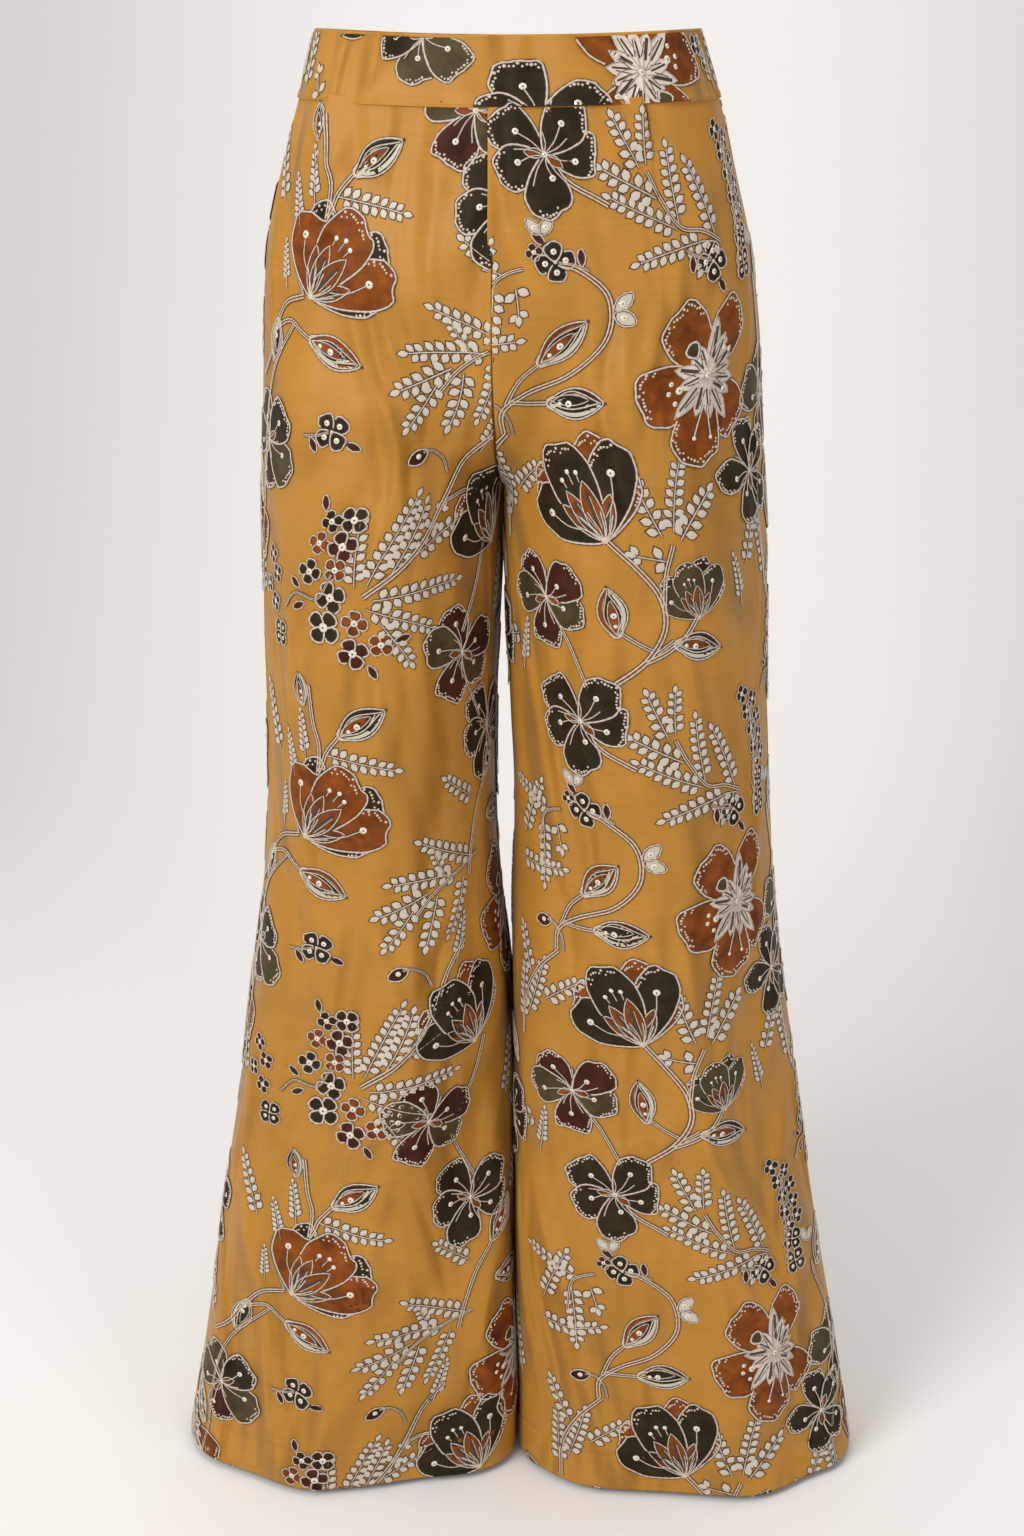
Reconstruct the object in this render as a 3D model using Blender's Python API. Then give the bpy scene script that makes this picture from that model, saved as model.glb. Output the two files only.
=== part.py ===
"""Palazzo pants: wide, floor-length trousers with a high, smooth waistband, as worn, with nobody in them.

Metres, +Z up. The front faces -Y and the wearer's left is +X. The origin is the centre of the waist
opening, level with its upper edge, so every height is a drop below it.

Each half of the garment is one closed surface, addressed by (side, turn, drop):
  side   +1 is the wearer's left half, -1 the right half
  turn   0 at the centre front seam or inseam, 0.5 at the side seam, 1 at the centre back seam or inseam
  drop   how far below the waist opening
Above the crotch a half is half of the hip's oval; below it, it is the tube of one leg.
"""

import math
from typing import NamedTuple

import bmesh
import bpy
from mathutils import Matrix, Vector

COLLECTION = "palazzo_pants"

# Driving dimensions, in metres
OUTSEAM = 1.050            # waist opening to hem
BAND_DEPTH = 0.0425        # waistband, at the side seam
CROTCH_DROP = 0.290        # where the four legs' seams meet
CROTCH_CURVE_TOP = 0.150   # where the centre seams start to curve under
BODY_BLEND_TOP = 0.120     # from here to the next line the hip's oval turns into two tubes
BODY_BLEND_END = 0.360
HIP_SQUARE = 0.85          # below 1, the hip's oval is squarer than an ellipse
LEG_SQUARE_IN = 0.55       # the same for the inner side of a leg's tube at the hem
LEG_SQUARE_OUT = 0.80      # and for its outer side
LEG_SQUARE_TOP = 0.420     # above here the leg's tube is an ellipse
CROTCH_REACH = 0.12        # in turns: how far from the seam the crotch curve shapes the cloth
WAIST_DIP = 0.004          # the waist is this much lower at the front and back than at the sides
DIP_END = 0.300
SEAM_GAP = 0.0003
COLUMN = 1 / 24            # width of a panel's facets, in turns
CLOTH = 0.0016             # wall of a leg panel
HEM_CLOTH = 0.0024         # wall of the turned-up hem
HEM_DEPTH = 0.030
BAND_CLOTH = 0.0028        # the doubled, stiffened waistband
BAND_PROUD = 0.0010        # how far the waistband stands out from the panels
BAND_LIP = 0.0006          # and how much more at its turned lower edge
FLY_END = 0.127            # the mock fly's lap runs from the waistband to here
FLY_FADE = 0.014
FLY_LAP = 0.0025           # how far the left front laps past the centre line
FLY_LIP = 0.0010           # how far the folded edge stands out
FLY_LIP_WIDTH = 0.040
LEAST_GAP = 0.0006         # each leg's inner side stays this far from the middle

# Closure at the centre back
ZIP_END = 0.190
ZIP_TOP = 0.003
TAPE_WIDTH = 0.012
TAPE_CLOTH = 0.0010
TAPE_GAP = 0.0006
SLIDER_DROP = 0.012
SLIDER_WIDTH = 0.0056
SLIDER_HEIGHT = 0.0075
SLIDER_GAP = 0.0004
SLIDER_DEPTH = 0.0020
EAR_WIDTH = 0.0008
BAR_RADIUS = 0.00045
EYE_RADIUS = 0.00140
EYE_BORE = 0.00075
EYE_WIDTH = 0.0018
NECK_LENGTH = 0.0022
PULL_LENGTH = 0.016
PULL_WIDTH = 0.0050
PULL_THICKNESS = 0.0010
RUNNING_GAP = 0.0003


class Section(NamedTuple):
    """One level of the garment: where its sides, middle, front and back lie."""
    drop: float
    left: float      # outline on the wearer's left
    right: float     # outline on the wearer's right
    middle: float    # the centre seam, or the space between the legs
    front: float     # half-depth forwards
    back: float      # half-depth backwards
    gap: float       # half of the space between the legs
    set_back: float  # how far the legs hang behind the waist's centre


SECTIONS = [
    Section(0.0000, 0.1195, 0.1245, -0.0065, 0.082, 0.084, 0.0006, 0.000),
    Section(0.0425, 0.1330, 0.1368, -0.0065, 0.090, 0.093, 0.0006, 0.000),
    Section(0.0820, 0.1437, 0.1482, -0.0060, 0.098, 0.103, 0.0006, 0.000),
    Section(0.1320, 0.1557, 0.1596, -0.0060, 0.107, 0.114, 0.0006, 0.000),
    Section(0.1840, 0.1627, 0.1640, -0.0060, 0.114, 0.122, 0.0006, 0.000),
    Section(0.2370, 0.1666, 0.1668, -0.0060, 0.119, 0.127, 0.0006, 0.000),
    Section(0.2900, 0.1705, 0.1685, -0.0060, 0.114, 0.118, 0.0006, 0.000),
    Section(0.3470, 0.1738, 0.1697, -0.0060, 0.107, 0.111, 0.0006, 0.001),
    Section(0.4000, 0.1759, 0.1708, -0.0062, 0.104, 0.106, 0.0030, 0.003),
    Section(0.4470, 0.1781, 0.1718, -0.0063, 0.102, 0.103, 0.0056, 0.005),
    Section(0.5215, 0.1829, 0.1751, -0.0054, 0.099, 0.099, 0.0067, 0.008),
    Section(0.5980, 0.1893, 0.1821, -0.0036, 0.096, 0.096, 0.0036, 0.011),
    Section(0.6770, 0.2010, 0.1944, 0.0000, 0.092, 0.093, 0.0006, 0.014),
    Section(0.8000, 0.2200, 0.2128, 0.0010, 0.087, 0.090, 0.0006, 0.017),
    Section(0.9300, 0.2433, 0.2335, 0.0030, 0.085, 0.087, 0.0006, 0.019),
    Section(1.0500, 0.2642, 0.2545, 0.0045, 0.084, 0.085, 0.0006, 0.020),
]


class Fold(NamedTuple):
    """A large soft fold: a ridge along a line on one half, or a trough where its height is negative."""
    side: int
    turn_top: float
    drop_top: float
    turn_low: float
    drop_low: float
    width: float
    height: float


FOLDS = [
    Fold(-1, 0.175, 0.560, 0.285, 1.050, 0.030, 0.0100),
    Fold(-1, 0.085, 0.640, 0.170, 1.050, 0.032, -0.0065),
    Fold(-1, 0.205, 0.760, 0.205, 1.050, 0.100, 0.0070),
    Fold(-1, 0.360, 0.480, 0.400, 1.050, 0.035, 0.0045),
    Fold(-1, 0.200, 0.200, 0.215, 0.560, 0.030, 0.0040),
    Fold(+1, 0.205, 0.130, 0.235, 0.720, 0.030, 0.0050),
    Fold(+1, 0.285, 0.420, 0.310, 1.050, 0.030, 0.0060),
    Fold(+1, 0.120, 0.560, 0.155, 1.050, 0.032, 0.0060),
    Fold(+1, 0.395, 0.560, 0.385, 1.050, 0.028, -0.0055),
    Fold(-1, 0.640, 0.300, 0.620, 1.050, 0.034, 0.0060),
    Fold(-1, 0.800, 0.420, 0.815, 1.050, 0.036, 0.0055),
    Fold(+1, 0.655, 0.360, 0.635, 1.050, 0.034, 0.0060),
    Fold(+1, 0.780, 0.300, 0.800, 1.050, 0.038, 0.0055),
]
FOLD_FADE = 0.12           # a fold rises over this much of its length
INSEAM_CALM = 0.05         # and dies out this many turns from the inseam


class Tuck(NamedTuple):
    """A front tuck: cloth folded under at the waistband, whose crisp edge faces the side seam."""
    side: int
    turn: float
    length: float    # the crisp edge, below the waistband
    height: float


TUCKS = [Tuck(-1, 0.288, 0.036, 0.0030), Tuck(+1, 0.225, 0.020, 0.0026)]
TUCK_EDGE = 0.0025         # width of the step at the tuck's edge
TUCK_WIDTH = 0.024         # width of the fullness that it releases
TUCK_FADE = 0.085          # the fullness dies away over this much drop


def smooth(value):
    """0 to 1 with flat ends."""
    value = min(max(value, 0.0), 1.0)
    return value * value * (3.0 - 2.0 * value)


def level(drop):
    """The section at a drop, on a smooth curve through the table."""
    last = len(SECTIONS) - 1
    low = max(i for i in range(last) if SECTIONS[i].drop <= drop or i == 0)
    start, end = SECTIONS[low], SECTIONS[low + 1]
    before, after = SECTIONS[max(low - 1, 0)], SECTIONS[min(low + 2, last)]
    span = end.drop - start.drop
    t = min(max((drop - start.drop) / span, 0.0), 1.0)
    values = []
    for a, b, c, d in zip(before, start, end, after):
        rise_in = (c - a) / (end.drop - before.drop) * span
        rise_out = (d - b) / (after.drop - start.drop) * span
        values.append(
            b * (1 + 2 * t) * (1 - t) ** 2 + rise_in * t * (1 - t) ** 2
            + c * t * t * (3 - 2 * t) + rise_out * t * t * (t - 1)
        )
    return Section(drop, *values[1:-2], max(values[-2], LEAST_GAP), values[-1])


def hip_share(turn, drop):
    """1 where the cloth follows the hip's oval, 0 where it follows the leg's tube."""
    under = (drop - CROTCH_CURVE_TOP) / (CROTCH_DROP - CROTCH_CURVE_TOP)
    under = min(max(under, 0.0), 1.0)
    at_seam = math.sqrt(1.0 - under * under)
    on_body = smooth((BODY_BLEND_END - drop) / (BODY_BLEND_END - BODY_BLEND_TOP))
    from_seam = smooth(min(abs(turn), abs(1.0 - turn)) / CROTCH_REACH)
    return at_seam + (on_body - at_seam) * from_seam


def half_girth(drop):
    """Length of the cloth round one half, for turning widths into turns."""
    here = level(drop)
    width = (here.left + here.right) / 2
    depth = (here.front + here.back) / 2
    hip = math.pi * math.hypot(width, depth) / math.sqrt(2)
    leg = 2 * math.pi * math.hypot(width / 2, depth) / math.sqrt(2)
    share = smooth((BODY_BLEND_END - drop) / (BODY_BLEND_END - BODY_BLEND_TOP))
    return leg + (hip - leg) * share


def fold_height(side, turn, drop):
    """How far the large folds and the tucks move the cloth outwards."""
    girth = half_girth(drop)
    total = 0.0
    for fold in FOLDS:
        if fold.side != side or not fold.drop_top < drop:
            continue
        along = (drop - fold.drop_top) / (fold.drop_low - fold.drop_top)
        line = fold.turn_top + (fold.turn_low - fold.turn_top) * along
        fade = smooth((drop - fold.drop_top) / FOLD_FADE)
        if fold.drop_low < OUTSEAM:
            fade *= smooth((fold.drop_low - drop) / FOLD_FADE)
        across = (turn - line) * girth / fold.width
        total += fold.height * fade * math.exp(-across * across)
    total *= smooth(min(abs(turn), 1 - turn) / INSEAM_CALM)
    for tuck in TUCKS:
        if tuck.side != side:
            continue
        below = drop - BAND_DEPTH
        across = (tuck.turn - turn) * girth
        crisp = smooth(across / TUCK_EDGE + 0.5) * (1 - smooth(below / tuck.length - 0.4))
        soft = math.exp(-(across / TUCK_WIDTH) ** 2) * smooth(1 - below / TUCK_FADE)
        total += tuck.height * soft * (0.5 + 0.5 * crisp) if across < 0 else tuck.height * soft
    return total


def half_width(side, here):
    """From the middle to the outline, on one side."""
    return here.left - here.middle if side > 0 else here.right + here.middle


def form(side, turn, drop):
    """A point of the garment before its folds."""
    here = level(drop)
    outline = half_width(side, here)
    depth = here.front if turn < 0.5 else here.back
    hip_angle = math.pi * turn
    ahead = math.cos(hip_angle)
    hip = Vector((outline * math.sin(hip_angle), -depth * math.copysign(abs(ahead) ** HIP_SQUARE, ahead)))
    leg_angle = 2 * hip_angle
    centre = (outline + here.gap) / 2
    radius = (outline - here.gap) / 2
    inner = 0.5 + 0.5 * math.cos(leg_angle)
    square = LEG_SQUARE_OUT + (LEG_SQUARE_IN - LEG_SQUARE_OUT) * inner
    square = 1 - (1 - square) * smooth((drop - LEG_SQUARE_TOP) / (OUTSEAM - LEG_SQUARE_TOP))
    forwards = math.copysign(abs(math.sin(leg_angle)) ** square, math.sin(leg_angle))
    leg = Vector((centre - radius * math.cos(leg_angle), -depth * forwards + here.set_back))
    flat = leg.lerp(hip, hip_share(turn, drop))
    dip = WAIST_DIP * math.cos(hip_angle) ** 2 * smooth(1 - drop / DIP_END)
    return Vector((here.middle + side * flat.x, flat.y, -drop - dip))


def outward(side, turn, drop):
    """The cloth's outward direction, from its neighbours along and across."""
    step = 0.002
    across = form(side, turn + step, drop) - form(side, turn - step, drop)
    down = form(side, turn, drop + step) - form(side, turn, drop - step)
    return (down.cross(across) * side).normalized()


def cloth(side, turn, drop, lift=0.0):
    """A point of the garment with its folds, moved out by lift."""
    out = outward(side, turn, drop)
    return form(side, turn, drop) + out * (fold_height(side, turn, drop) + lift)


def seam_step(drop):
    """Half of the seam gap, in turns."""
    return SEAM_GAP / 2 / half_girth(drop)


def fly_share(drop):
    """1 where the mock fly laps over, 0 below it."""
    return 1 - smooth((drop - FLY_END) / FLY_FADE + 0.5)


def front_edge(side, drop):
    """The turn of a front panel's centre edge: the left front laps past the middle along the fly."""
    offset = SEAM_GAP / 2 - side * FLY_LAP * fly_share(drop)
    return math.asin(offset / half_width(side, level(drop))) / math.pi


def material(name, colour, roughness, metallic=0.0):
    made = bpy.data.materials.new(name)
    made.use_nodes = True
    shader = made.node_tree.nodes["Principled BSDF"]
    shader.inputs["Base Color"].default_value = (*colour, 1.0)
    shader.inputs["Roughness"].default_value = roughness
    shader.inputs["Metallic"].default_value = metallic
    return made


def add_object(name, mesh_data, finish, parts):
    made = bpy.data.objects.new(name, mesh_data)
    made.data.materials.append(finish)
    parts.objects.link(made)
    return made


def wall(name, rows, finish, parts):
    """A closed wall lofted from rows of (outer point, inner point) pairs, every row equally long."""
    bm = bmesh.new()
    grid = [[[bm.verts.new(point) for point in pair] for pair in row] for row in rows]
    last_row = len(grid) - 1
    last = len(grid[0]) - 1
    for i in range(last_row):
        for j in range(last):
            a, b, c, d = grid[i][j], grid[i][j + 1], grid[i + 1][j + 1], grid[i + 1][j]
            bm.faces.new((a[0], b[0], c[0], d[0]))
            bm.faces.new((d[1], c[1], b[1], a[1]))
    for i in range(last_row):
        for j in (0, last):
            bm.faces.new((grid[i][j][0], grid[i][j][1], grid[i + 1][j][1], grid[i + 1][j][0]))
    for j in range(last):
        for i in (0, last_row):
            bm.faces.new((grid[i][j][0], grid[i][j][1], grid[i][j + 1][1], grid[i][j + 1][0]))
    bmesh.ops.recalc_face_normals(bm, faces=bm.faces)
    mesh = bpy.data.meshes.new(name)
    bm.to_mesh(mesh)
    bm.free()
    made = add_object(name, mesh, finish, parts)
    mesh.shade_smooth()
    mesh.set_sharp_from_angle(angle=math.radians(50))
    return made


def panel_drops():
    """The levels of a leg panel: even round the crotch's curve, wider apart down the leg."""
    drops = [BAND_DEPTH + SEAM_GAP, 0.053, 0.068, 0.095, 0.125]
    curve = CROTCH_DROP - CROTCH_CURVE_TOP
    drops += [CROTCH_CURVE_TOP + curve * math.sin(math.radians(a)) for a in range(0, 91, 15)]
    drops += [0.305, 0.33]
    steps = 12
    start = 0.37
    hem_line = OUTSEAM - HEM_DEPTH
    drops += [start + (hem_line - start) * i / steps for i in range(steps + 1)]
    return drops + [OUTSEAM]


def front_turns(side):
    """Columns of a front panel, closer together at the tuck's edge."""
    tuck = next(t.turn for t in TUCKS if t.side == side)
    even = [i * COLUMN for i in range(1, 12)]
    near = [tuck - 0.012, tuck, tuck + 0.008]
    return sorted([t for t in even if all(abs(t - n) > 0.012 for n in near)] + near)


def panel(name, side, front, finish, parts):
    """A leg panel from the waistband to the hem, front or back."""
    inner = front_turns(side) if front else [1 - i * COLUMN for i in range(11, 0, -1)]
    rows = []
    for drop in panel_drops():
        gap = seam_step(drop)
        start, end = (front_edge(side, drop), 0.5 - gap) if front else (0.5 + gap, 1 - gap)
        thickness = HEM_CLOTH if drop > OUTSEAM - HEM_DEPTH else CLOTH
        row = []
        for turn in [start, *inner, end]:
            lift = 0.0
            if front and side > 0:
                from_edge = (turn - start) * half_girth(drop)
                lift = FLY_LIP * fly_share(drop) * (1 - smooth(from_edge / FLY_LIP_WIDTH))
            outer = cloth(side, turn, drop, lift)
            row.append((outer, cloth(side, turn, drop, -thickness)))
        rows.append(row)
    return wall(name, rows, finish, parts)


def band(name, start, end, columns, finish, parts):
    """A waistband piece. Its signed turns run from -1, the centre back, over 0, the front, to 1."""
    rows = []
    for share in (0.0, 0.12, 0.85, 1.0):
        drop = BAND_DEPTH * share
        rounding = 0.35 if share == 0.0 else 1.0
        lip = BAND_LIP if share == 1.0 else 0.0
        row = []
        for i in range(columns + 1):
            signed = start + (end - start) * i / columns
            side = 1 if signed > 0 or (signed == 0 and end > 0) else -1
            turn = abs(signed)
            proud = BAND_PROUD * rounding + lip
            outer = form(side, turn, drop) + outward(side, turn, drop) * proud
            depth = (BAND_CLOTH - BAND_PROUD) * rounding
            row.append((outer, form(side, turn, drop) - outward(side, turn, drop) * depth))
        rows.append(row)
    return wall(name, rows, finish, parts)


def zip_tape(name, side, finish, parts):
    """One tape of the concealed zip, inside the centre back seam, just clear of the flat facets there."""
    zip_end = next(i for i, drop in enumerate(panel_drops()) if drop > ZIP_END)
    clear = BAND_CLOTH - BAND_PROUD + TAPE_GAP
    rows = []
    for drop in [ZIP_TOP, BAND_DEPTH * 0.5, *panel_drops()[:zip_end]]:
        row = []
        for share in (0.0, TAPE_WIDTH / half_girth(drop) / COLUMN):
            pair = []
            for depth in (clear, clear + TAPE_CLOTH):
                at_seam = cloth(side, 1 - seam_step(drop), drop, -depth)
                pair.append(at_seam.lerp(cloth(side, 1 - COLUMN, drop, -depth), share))
            row.append(pair)
        rows.append(row)
    return wall(name, rows, finish, parts)


def cylinder(name, radius, length, place, collection, segments=20):
    """A bar or bore along X."""
    bm = bmesh.new()
    bmesh.ops.create_cone(
        bm, cap_ends=True, segments=segments, radius1=radius, radius2=radius, depth=length
    )
    bmesh.ops.transform(bm, matrix=Matrix.Rotation(math.pi / 2, 4, "Y"), verts=bm.verts)
    return placed(name, bm, place, collection)


def block(name, size, place, collection):
    bm = bmesh.new()
    bmesh.ops.create_cube(bm, size=1.0)
    bmesh.ops.scale(bm, vec=size, verts=bm.verts)
    return placed(name, bm, place, collection)


def placed(name, bm, place, collection):
    mesh = bpy.data.meshes.new(name)
    bm.to_mesh(mesh)
    bm.free()
    made = bpy.data.objects.new(name, mesh)
    made.matrix_world = place
    collection.objects.link(made)
    return made


def combine(body, tool, operation):
    """Joins the tool to the body or cuts it away, and keeps the tool out of sight."""
    change = body.modifiers.new(f"{operation} {tool.name}", "BOOLEAN")
    change.operation = operation
    change.solver = "EXACT"
    change.object = tool
    tool.hide_render = True
    tool.display_type = "WIRE"


def zip_hardware(finish, parts, cutters):
    """The slider on the closed zip, with a pull that swings on its bar, both square to the waistband."""
    out = outward(1, 1.0, SLIDER_DROP)
    seat = form(1, 1.0, SLIDER_DROP) + out * (BAND_PROUD + SLIDER_GAP)
    frame = Matrix.Translation(seat) @ Matrix.Rotation(math.atan2(out.z, out.y), 4, "X")

    def at(x=0.0, y=0.0, z=0.0):
        return frame @ Matrix.Translation((x, y, z))

    bar_y = SLIDER_DEPTH + RUNNING_GAP + EYE_RADIUS
    slider = block("zip_slider", (SLIDER_WIDTH, SLIDER_DEPTH, SLIDER_HEIGHT),
                   at(y=SLIDER_DEPTH / 2), parts)
    slider.data.materials.append(finish)
    ear_x = EYE_WIDTH / 2 + RUNNING_GAP + EAR_WIDTH / 2
    ear_depth = bar_y + BAR_RADIUS * 2 - SLIDER_DEPTH / 2
    for sign in (-1, 1):
        ear = block(f"zip_ear_{sign}", (EAR_WIDTH, ear_depth, EYE_RADIUS * 2),
                    at(sign * ear_x, SLIDER_DEPTH / 2 + ear_depth / 2), cutters)
        combine(slider, ear, "UNION")
    rod = cylinder("zip_rod", BAR_RADIUS, 2 * ear_x, at(y=bar_y), cutters, segments=12)
    combine(slider, rod, "UNION")

    pull = cylinder("zip_pull", EYE_RADIUS, EYE_WIDTH, at(y=bar_y), parts)
    pull.data.materials.append(finish)
    blade_top = EYE_RADIUS + NECK_LENGTH
    blade_length = PULL_LENGTH - blade_top
    neck = block("zip_neck", (EYE_WIDTH, PULL_THICKNESS, blade_top + NECK_LENGTH),
                 at(y=bar_y, z=-(blade_top + NECK_LENGTH) / 2), cutters)
    blade = block("zip_blade", (PULL_WIDTH, PULL_THICKNESS * 0.98, blade_length),
                  at(y=bar_y, z=-blade_top - blade_length / 2), cutters)
    bore = cylinder("zip_bore", EYE_BORE, 4 * EYE_WIDTH, at(y=bar_y), cutters)
    combine(pull, neck, "UNION")
    combine(pull, blade, "UNION")
    combine(pull, bore, "DIFFERENCE")


def build():
    for old in list(bpy.data.objects):
        bpy.data.objects.remove(old)
    parts = bpy.data.collections.new(COLLECTION)
    cutters = bpy.data.collections.new("cutters")
    bpy.context.scene.collection.children.link(parts)
    bpy.context.scene.collection.children.link(cutters)
    silk = material("mustard_silk", (0.50, 0.24, 0.05), 0.45)
    band_silk = material("waistband_silk", (0.50, 0.24, 0.05), 0.45)
    tape = material("zip_tape", (0.42, 0.22, 0.07), 0.8)
    metal = material("zip_metal", (0.62, 0.46, 0.22), 0.35, 1.0)

    for side, word in ((1, "left"), (-1, "right")):
        panel(f"front_leg_{word}", side, True, silk, parts)
        panel(f"back_leg_{word}", side, False, silk, parts)
        zip_tape(f"zip_tape_{word}", side, tape, parts)
        near = seam_step(0.0)
        ends = sorted((side * (0.5 + near), side * (1 - near)))
        band(f"back_waistband_{word}", *ends, 10, band_silk, parts)
    side_gap = seam_step(0.0)
    band("front_waistband", -0.5 + side_gap, 0.5 - side_gap, 22, band_silk, parts)
    zip_hardware(metal, parts, cutters)


build()
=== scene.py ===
"""Palazzo pants in mustard silk twill, printed and embroidered with flowers, buds and ferns.

The cloth is cut into the same pieces as the solids in the frame. Each piece is a fine shell on its solid's
form, addressed by (side, turn, drop) as there. The flat cut of a leg panel has its own plane, in metres:
  x  from the grain line, down the middle of the panel, towards the side seam
  y  the drop below the waist opening
Creases, stitches and embroidery are laid out flat in that plane and then wrapped onto the cloth.
"""

import math
from typing import NamedTuple

import bmesh
import bpy
import numpy as np
from mathutils import Matrix, Vector, noise


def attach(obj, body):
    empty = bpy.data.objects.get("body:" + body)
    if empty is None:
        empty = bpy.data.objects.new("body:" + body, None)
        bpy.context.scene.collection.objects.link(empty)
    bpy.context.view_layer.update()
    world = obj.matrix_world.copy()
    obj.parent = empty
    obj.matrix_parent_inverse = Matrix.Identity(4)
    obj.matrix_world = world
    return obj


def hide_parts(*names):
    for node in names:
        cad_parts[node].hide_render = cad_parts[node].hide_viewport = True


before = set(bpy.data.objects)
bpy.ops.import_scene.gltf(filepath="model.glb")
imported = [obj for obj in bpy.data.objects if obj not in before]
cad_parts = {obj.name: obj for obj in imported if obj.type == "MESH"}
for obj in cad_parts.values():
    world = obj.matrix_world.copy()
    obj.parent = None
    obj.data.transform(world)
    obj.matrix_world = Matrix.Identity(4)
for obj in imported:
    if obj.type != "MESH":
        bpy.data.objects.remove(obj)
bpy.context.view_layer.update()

# ---------------------------------------------------------------- the garment's form, as in the solids

OUTSEAM = 1.050
BAND_DEPTH = 0.0425
CROTCH_DROP = 0.290
CROTCH_CURVE_TOP = 0.150
BODY_BLEND_TOP = 0.120
BODY_BLEND_END = 0.360
HIP_SQUARE = 0.85
LEG_SQUARE_IN = 0.55
LEG_SQUARE_OUT = 0.80
LEG_SQUARE_TOP = 0.420
CROTCH_REACH = 0.12
WAIST_DIP = 0.004
DIP_END = 0.300
BAND_CLOTH = 0.0028
BAND_PROUD = 0.0010
BAND_LIP = 0.0006
FLY_END = 0.127
FLY_FADE = 0.014
FLY_LAP = 0.0025
FLY_LIP = 0.0010
FLY_LIP_WIDTH = 0.040
LEAST_GAP = 0.0006
HEM_DEPTH = 0.030
HEM_GROOVE = 0.0006         # depth and width of the hem's stitched line
HEM_GROOVE_WIDTH = 0.0018
FLY_SHADE = 0.0009         # the cloth beside the fly's lap lies this much deeper
TUCK_LIP = 0.0018
TUCK_GROOVE = 0.0020


class Section(NamedTuple):
    """One level of the garment: where its sides, middle, front and back lie."""
    drop: float
    left: float
    right: float
    middle: float
    front: float
    back: float
    gap: float
    set_back: float


SECTIONS = [
    Section(0.0000, 0.1195, 0.1245, -0.0065, 0.082, 0.084, 0.0006, 0.000),
    Section(0.0425, 0.1330, 0.1368, -0.0065, 0.090, 0.093, 0.0006, 0.000),
    Section(0.0820, 0.1437, 0.1482, -0.0060, 0.098, 0.103, 0.0006, 0.000),
    Section(0.1320, 0.1557, 0.1596, -0.0060, 0.107, 0.114, 0.0006, 0.000),
    Section(0.1840, 0.1627, 0.1640, -0.0060, 0.114, 0.122, 0.0006, 0.000),
    Section(0.2370, 0.1666, 0.1668, -0.0060, 0.119, 0.127, 0.0006, 0.000),
    Section(0.2900, 0.1705, 0.1685, -0.0060, 0.114, 0.118, 0.0006, 0.000),
    Section(0.3470, 0.1738, 0.1697, -0.0060, 0.107, 0.111, 0.0006, 0.001),
    Section(0.4000, 0.1759, 0.1708, -0.0062, 0.104, 0.106, 0.0030, 0.003),
    Section(0.4470, 0.1781, 0.1718, -0.0063, 0.102, 0.103, 0.0056, 0.005),
    Section(0.5215, 0.1829, 0.1751, -0.0054, 0.099, 0.099, 0.0067, 0.008),
    Section(0.5980, 0.1893, 0.1821, -0.0036, 0.096, 0.096, 0.0036, 0.011),
    Section(0.6770, 0.2010, 0.1944, 0.0000, 0.092, 0.093, 0.0006, 0.014),
    Section(0.8000, 0.2200, 0.2128, 0.0010, 0.087, 0.090, 0.0006, 0.017),
    Section(0.9300, 0.2433, 0.2335, 0.0030, 0.085, 0.087, 0.0006, 0.019),
    Section(1.0500, 0.2642, 0.2545, 0.0045, 0.084, 0.085, 0.0006, 0.020),
]


class Fold(NamedTuple):
    """A large soft fold: a ridge along a line on one half, or a trough where its height is negative."""
    side: int
    turn_top: float
    drop_top: float
    turn_low: float
    drop_low: float
    width: float
    height: float


FOLDS = [
    Fold(-1, 0.175, 0.560, 0.285, 1.050, 0.030, 0.0100),
    Fold(-1, 0.085, 0.640, 0.170, 1.050, 0.032, -0.0065),
    Fold(-1, 0.205, 0.760, 0.205, 1.050, 0.100, 0.0070),
    Fold(-1, 0.360, 0.480, 0.400, 1.050, 0.035, 0.0045),
    Fold(-1, 0.200, 0.200, 0.215, 0.560, 0.030, 0.0040),
    Fold(+1, 0.205, 0.130, 0.235, 0.720, 0.030, 0.0050),
    Fold(+1, 0.285, 0.420, 0.310, 1.050, 0.030, 0.0060),
    Fold(+1, 0.120, 0.560, 0.155, 1.050, 0.032, 0.0060),
    Fold(+1, 0.395, 0.560, 0.385, 1.050, 0.028, -0.0055),
    Fold(-1, 0.640, 0.300, 0.620, 1.050, 0.034, 0.0060),
    Fold(-1, 0.800, 0.420, 0.815, 1.050, 0.036, 0.0055),
    Fold(+1, 0.655, 0.360, 0.635, 1.050, 0.034, 0.0060),
    Fold(+1, 0.780, 0.300, 0.800, 1.050, 0.038, 0.0055),
]
FOLD_FADE = 0.12
INSEAM_CALM = 0.05


class Tuck(NamedTuple):
    """A front tuck: cloth folded under at the waistband, whose crisp edge faces the side seam."""
    side: int
    turn: float
    length: float
    height: float


TUCKS = [Tuck(-1, 0.288, 0.036, 0.0030), Tuck(+1, 0.225, 0.020, 0.0026)]
TUCK_EDGE = 0.0025
TUCK_WIDTH = 0.024
TUCK_FADE = 0.085


def smooth(value):
    """0 to 1 with flat ends."""
    value = np.clip(value, 0.0, 1.0)
    return value * value * (3.0 - 2.0 * value)


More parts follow.
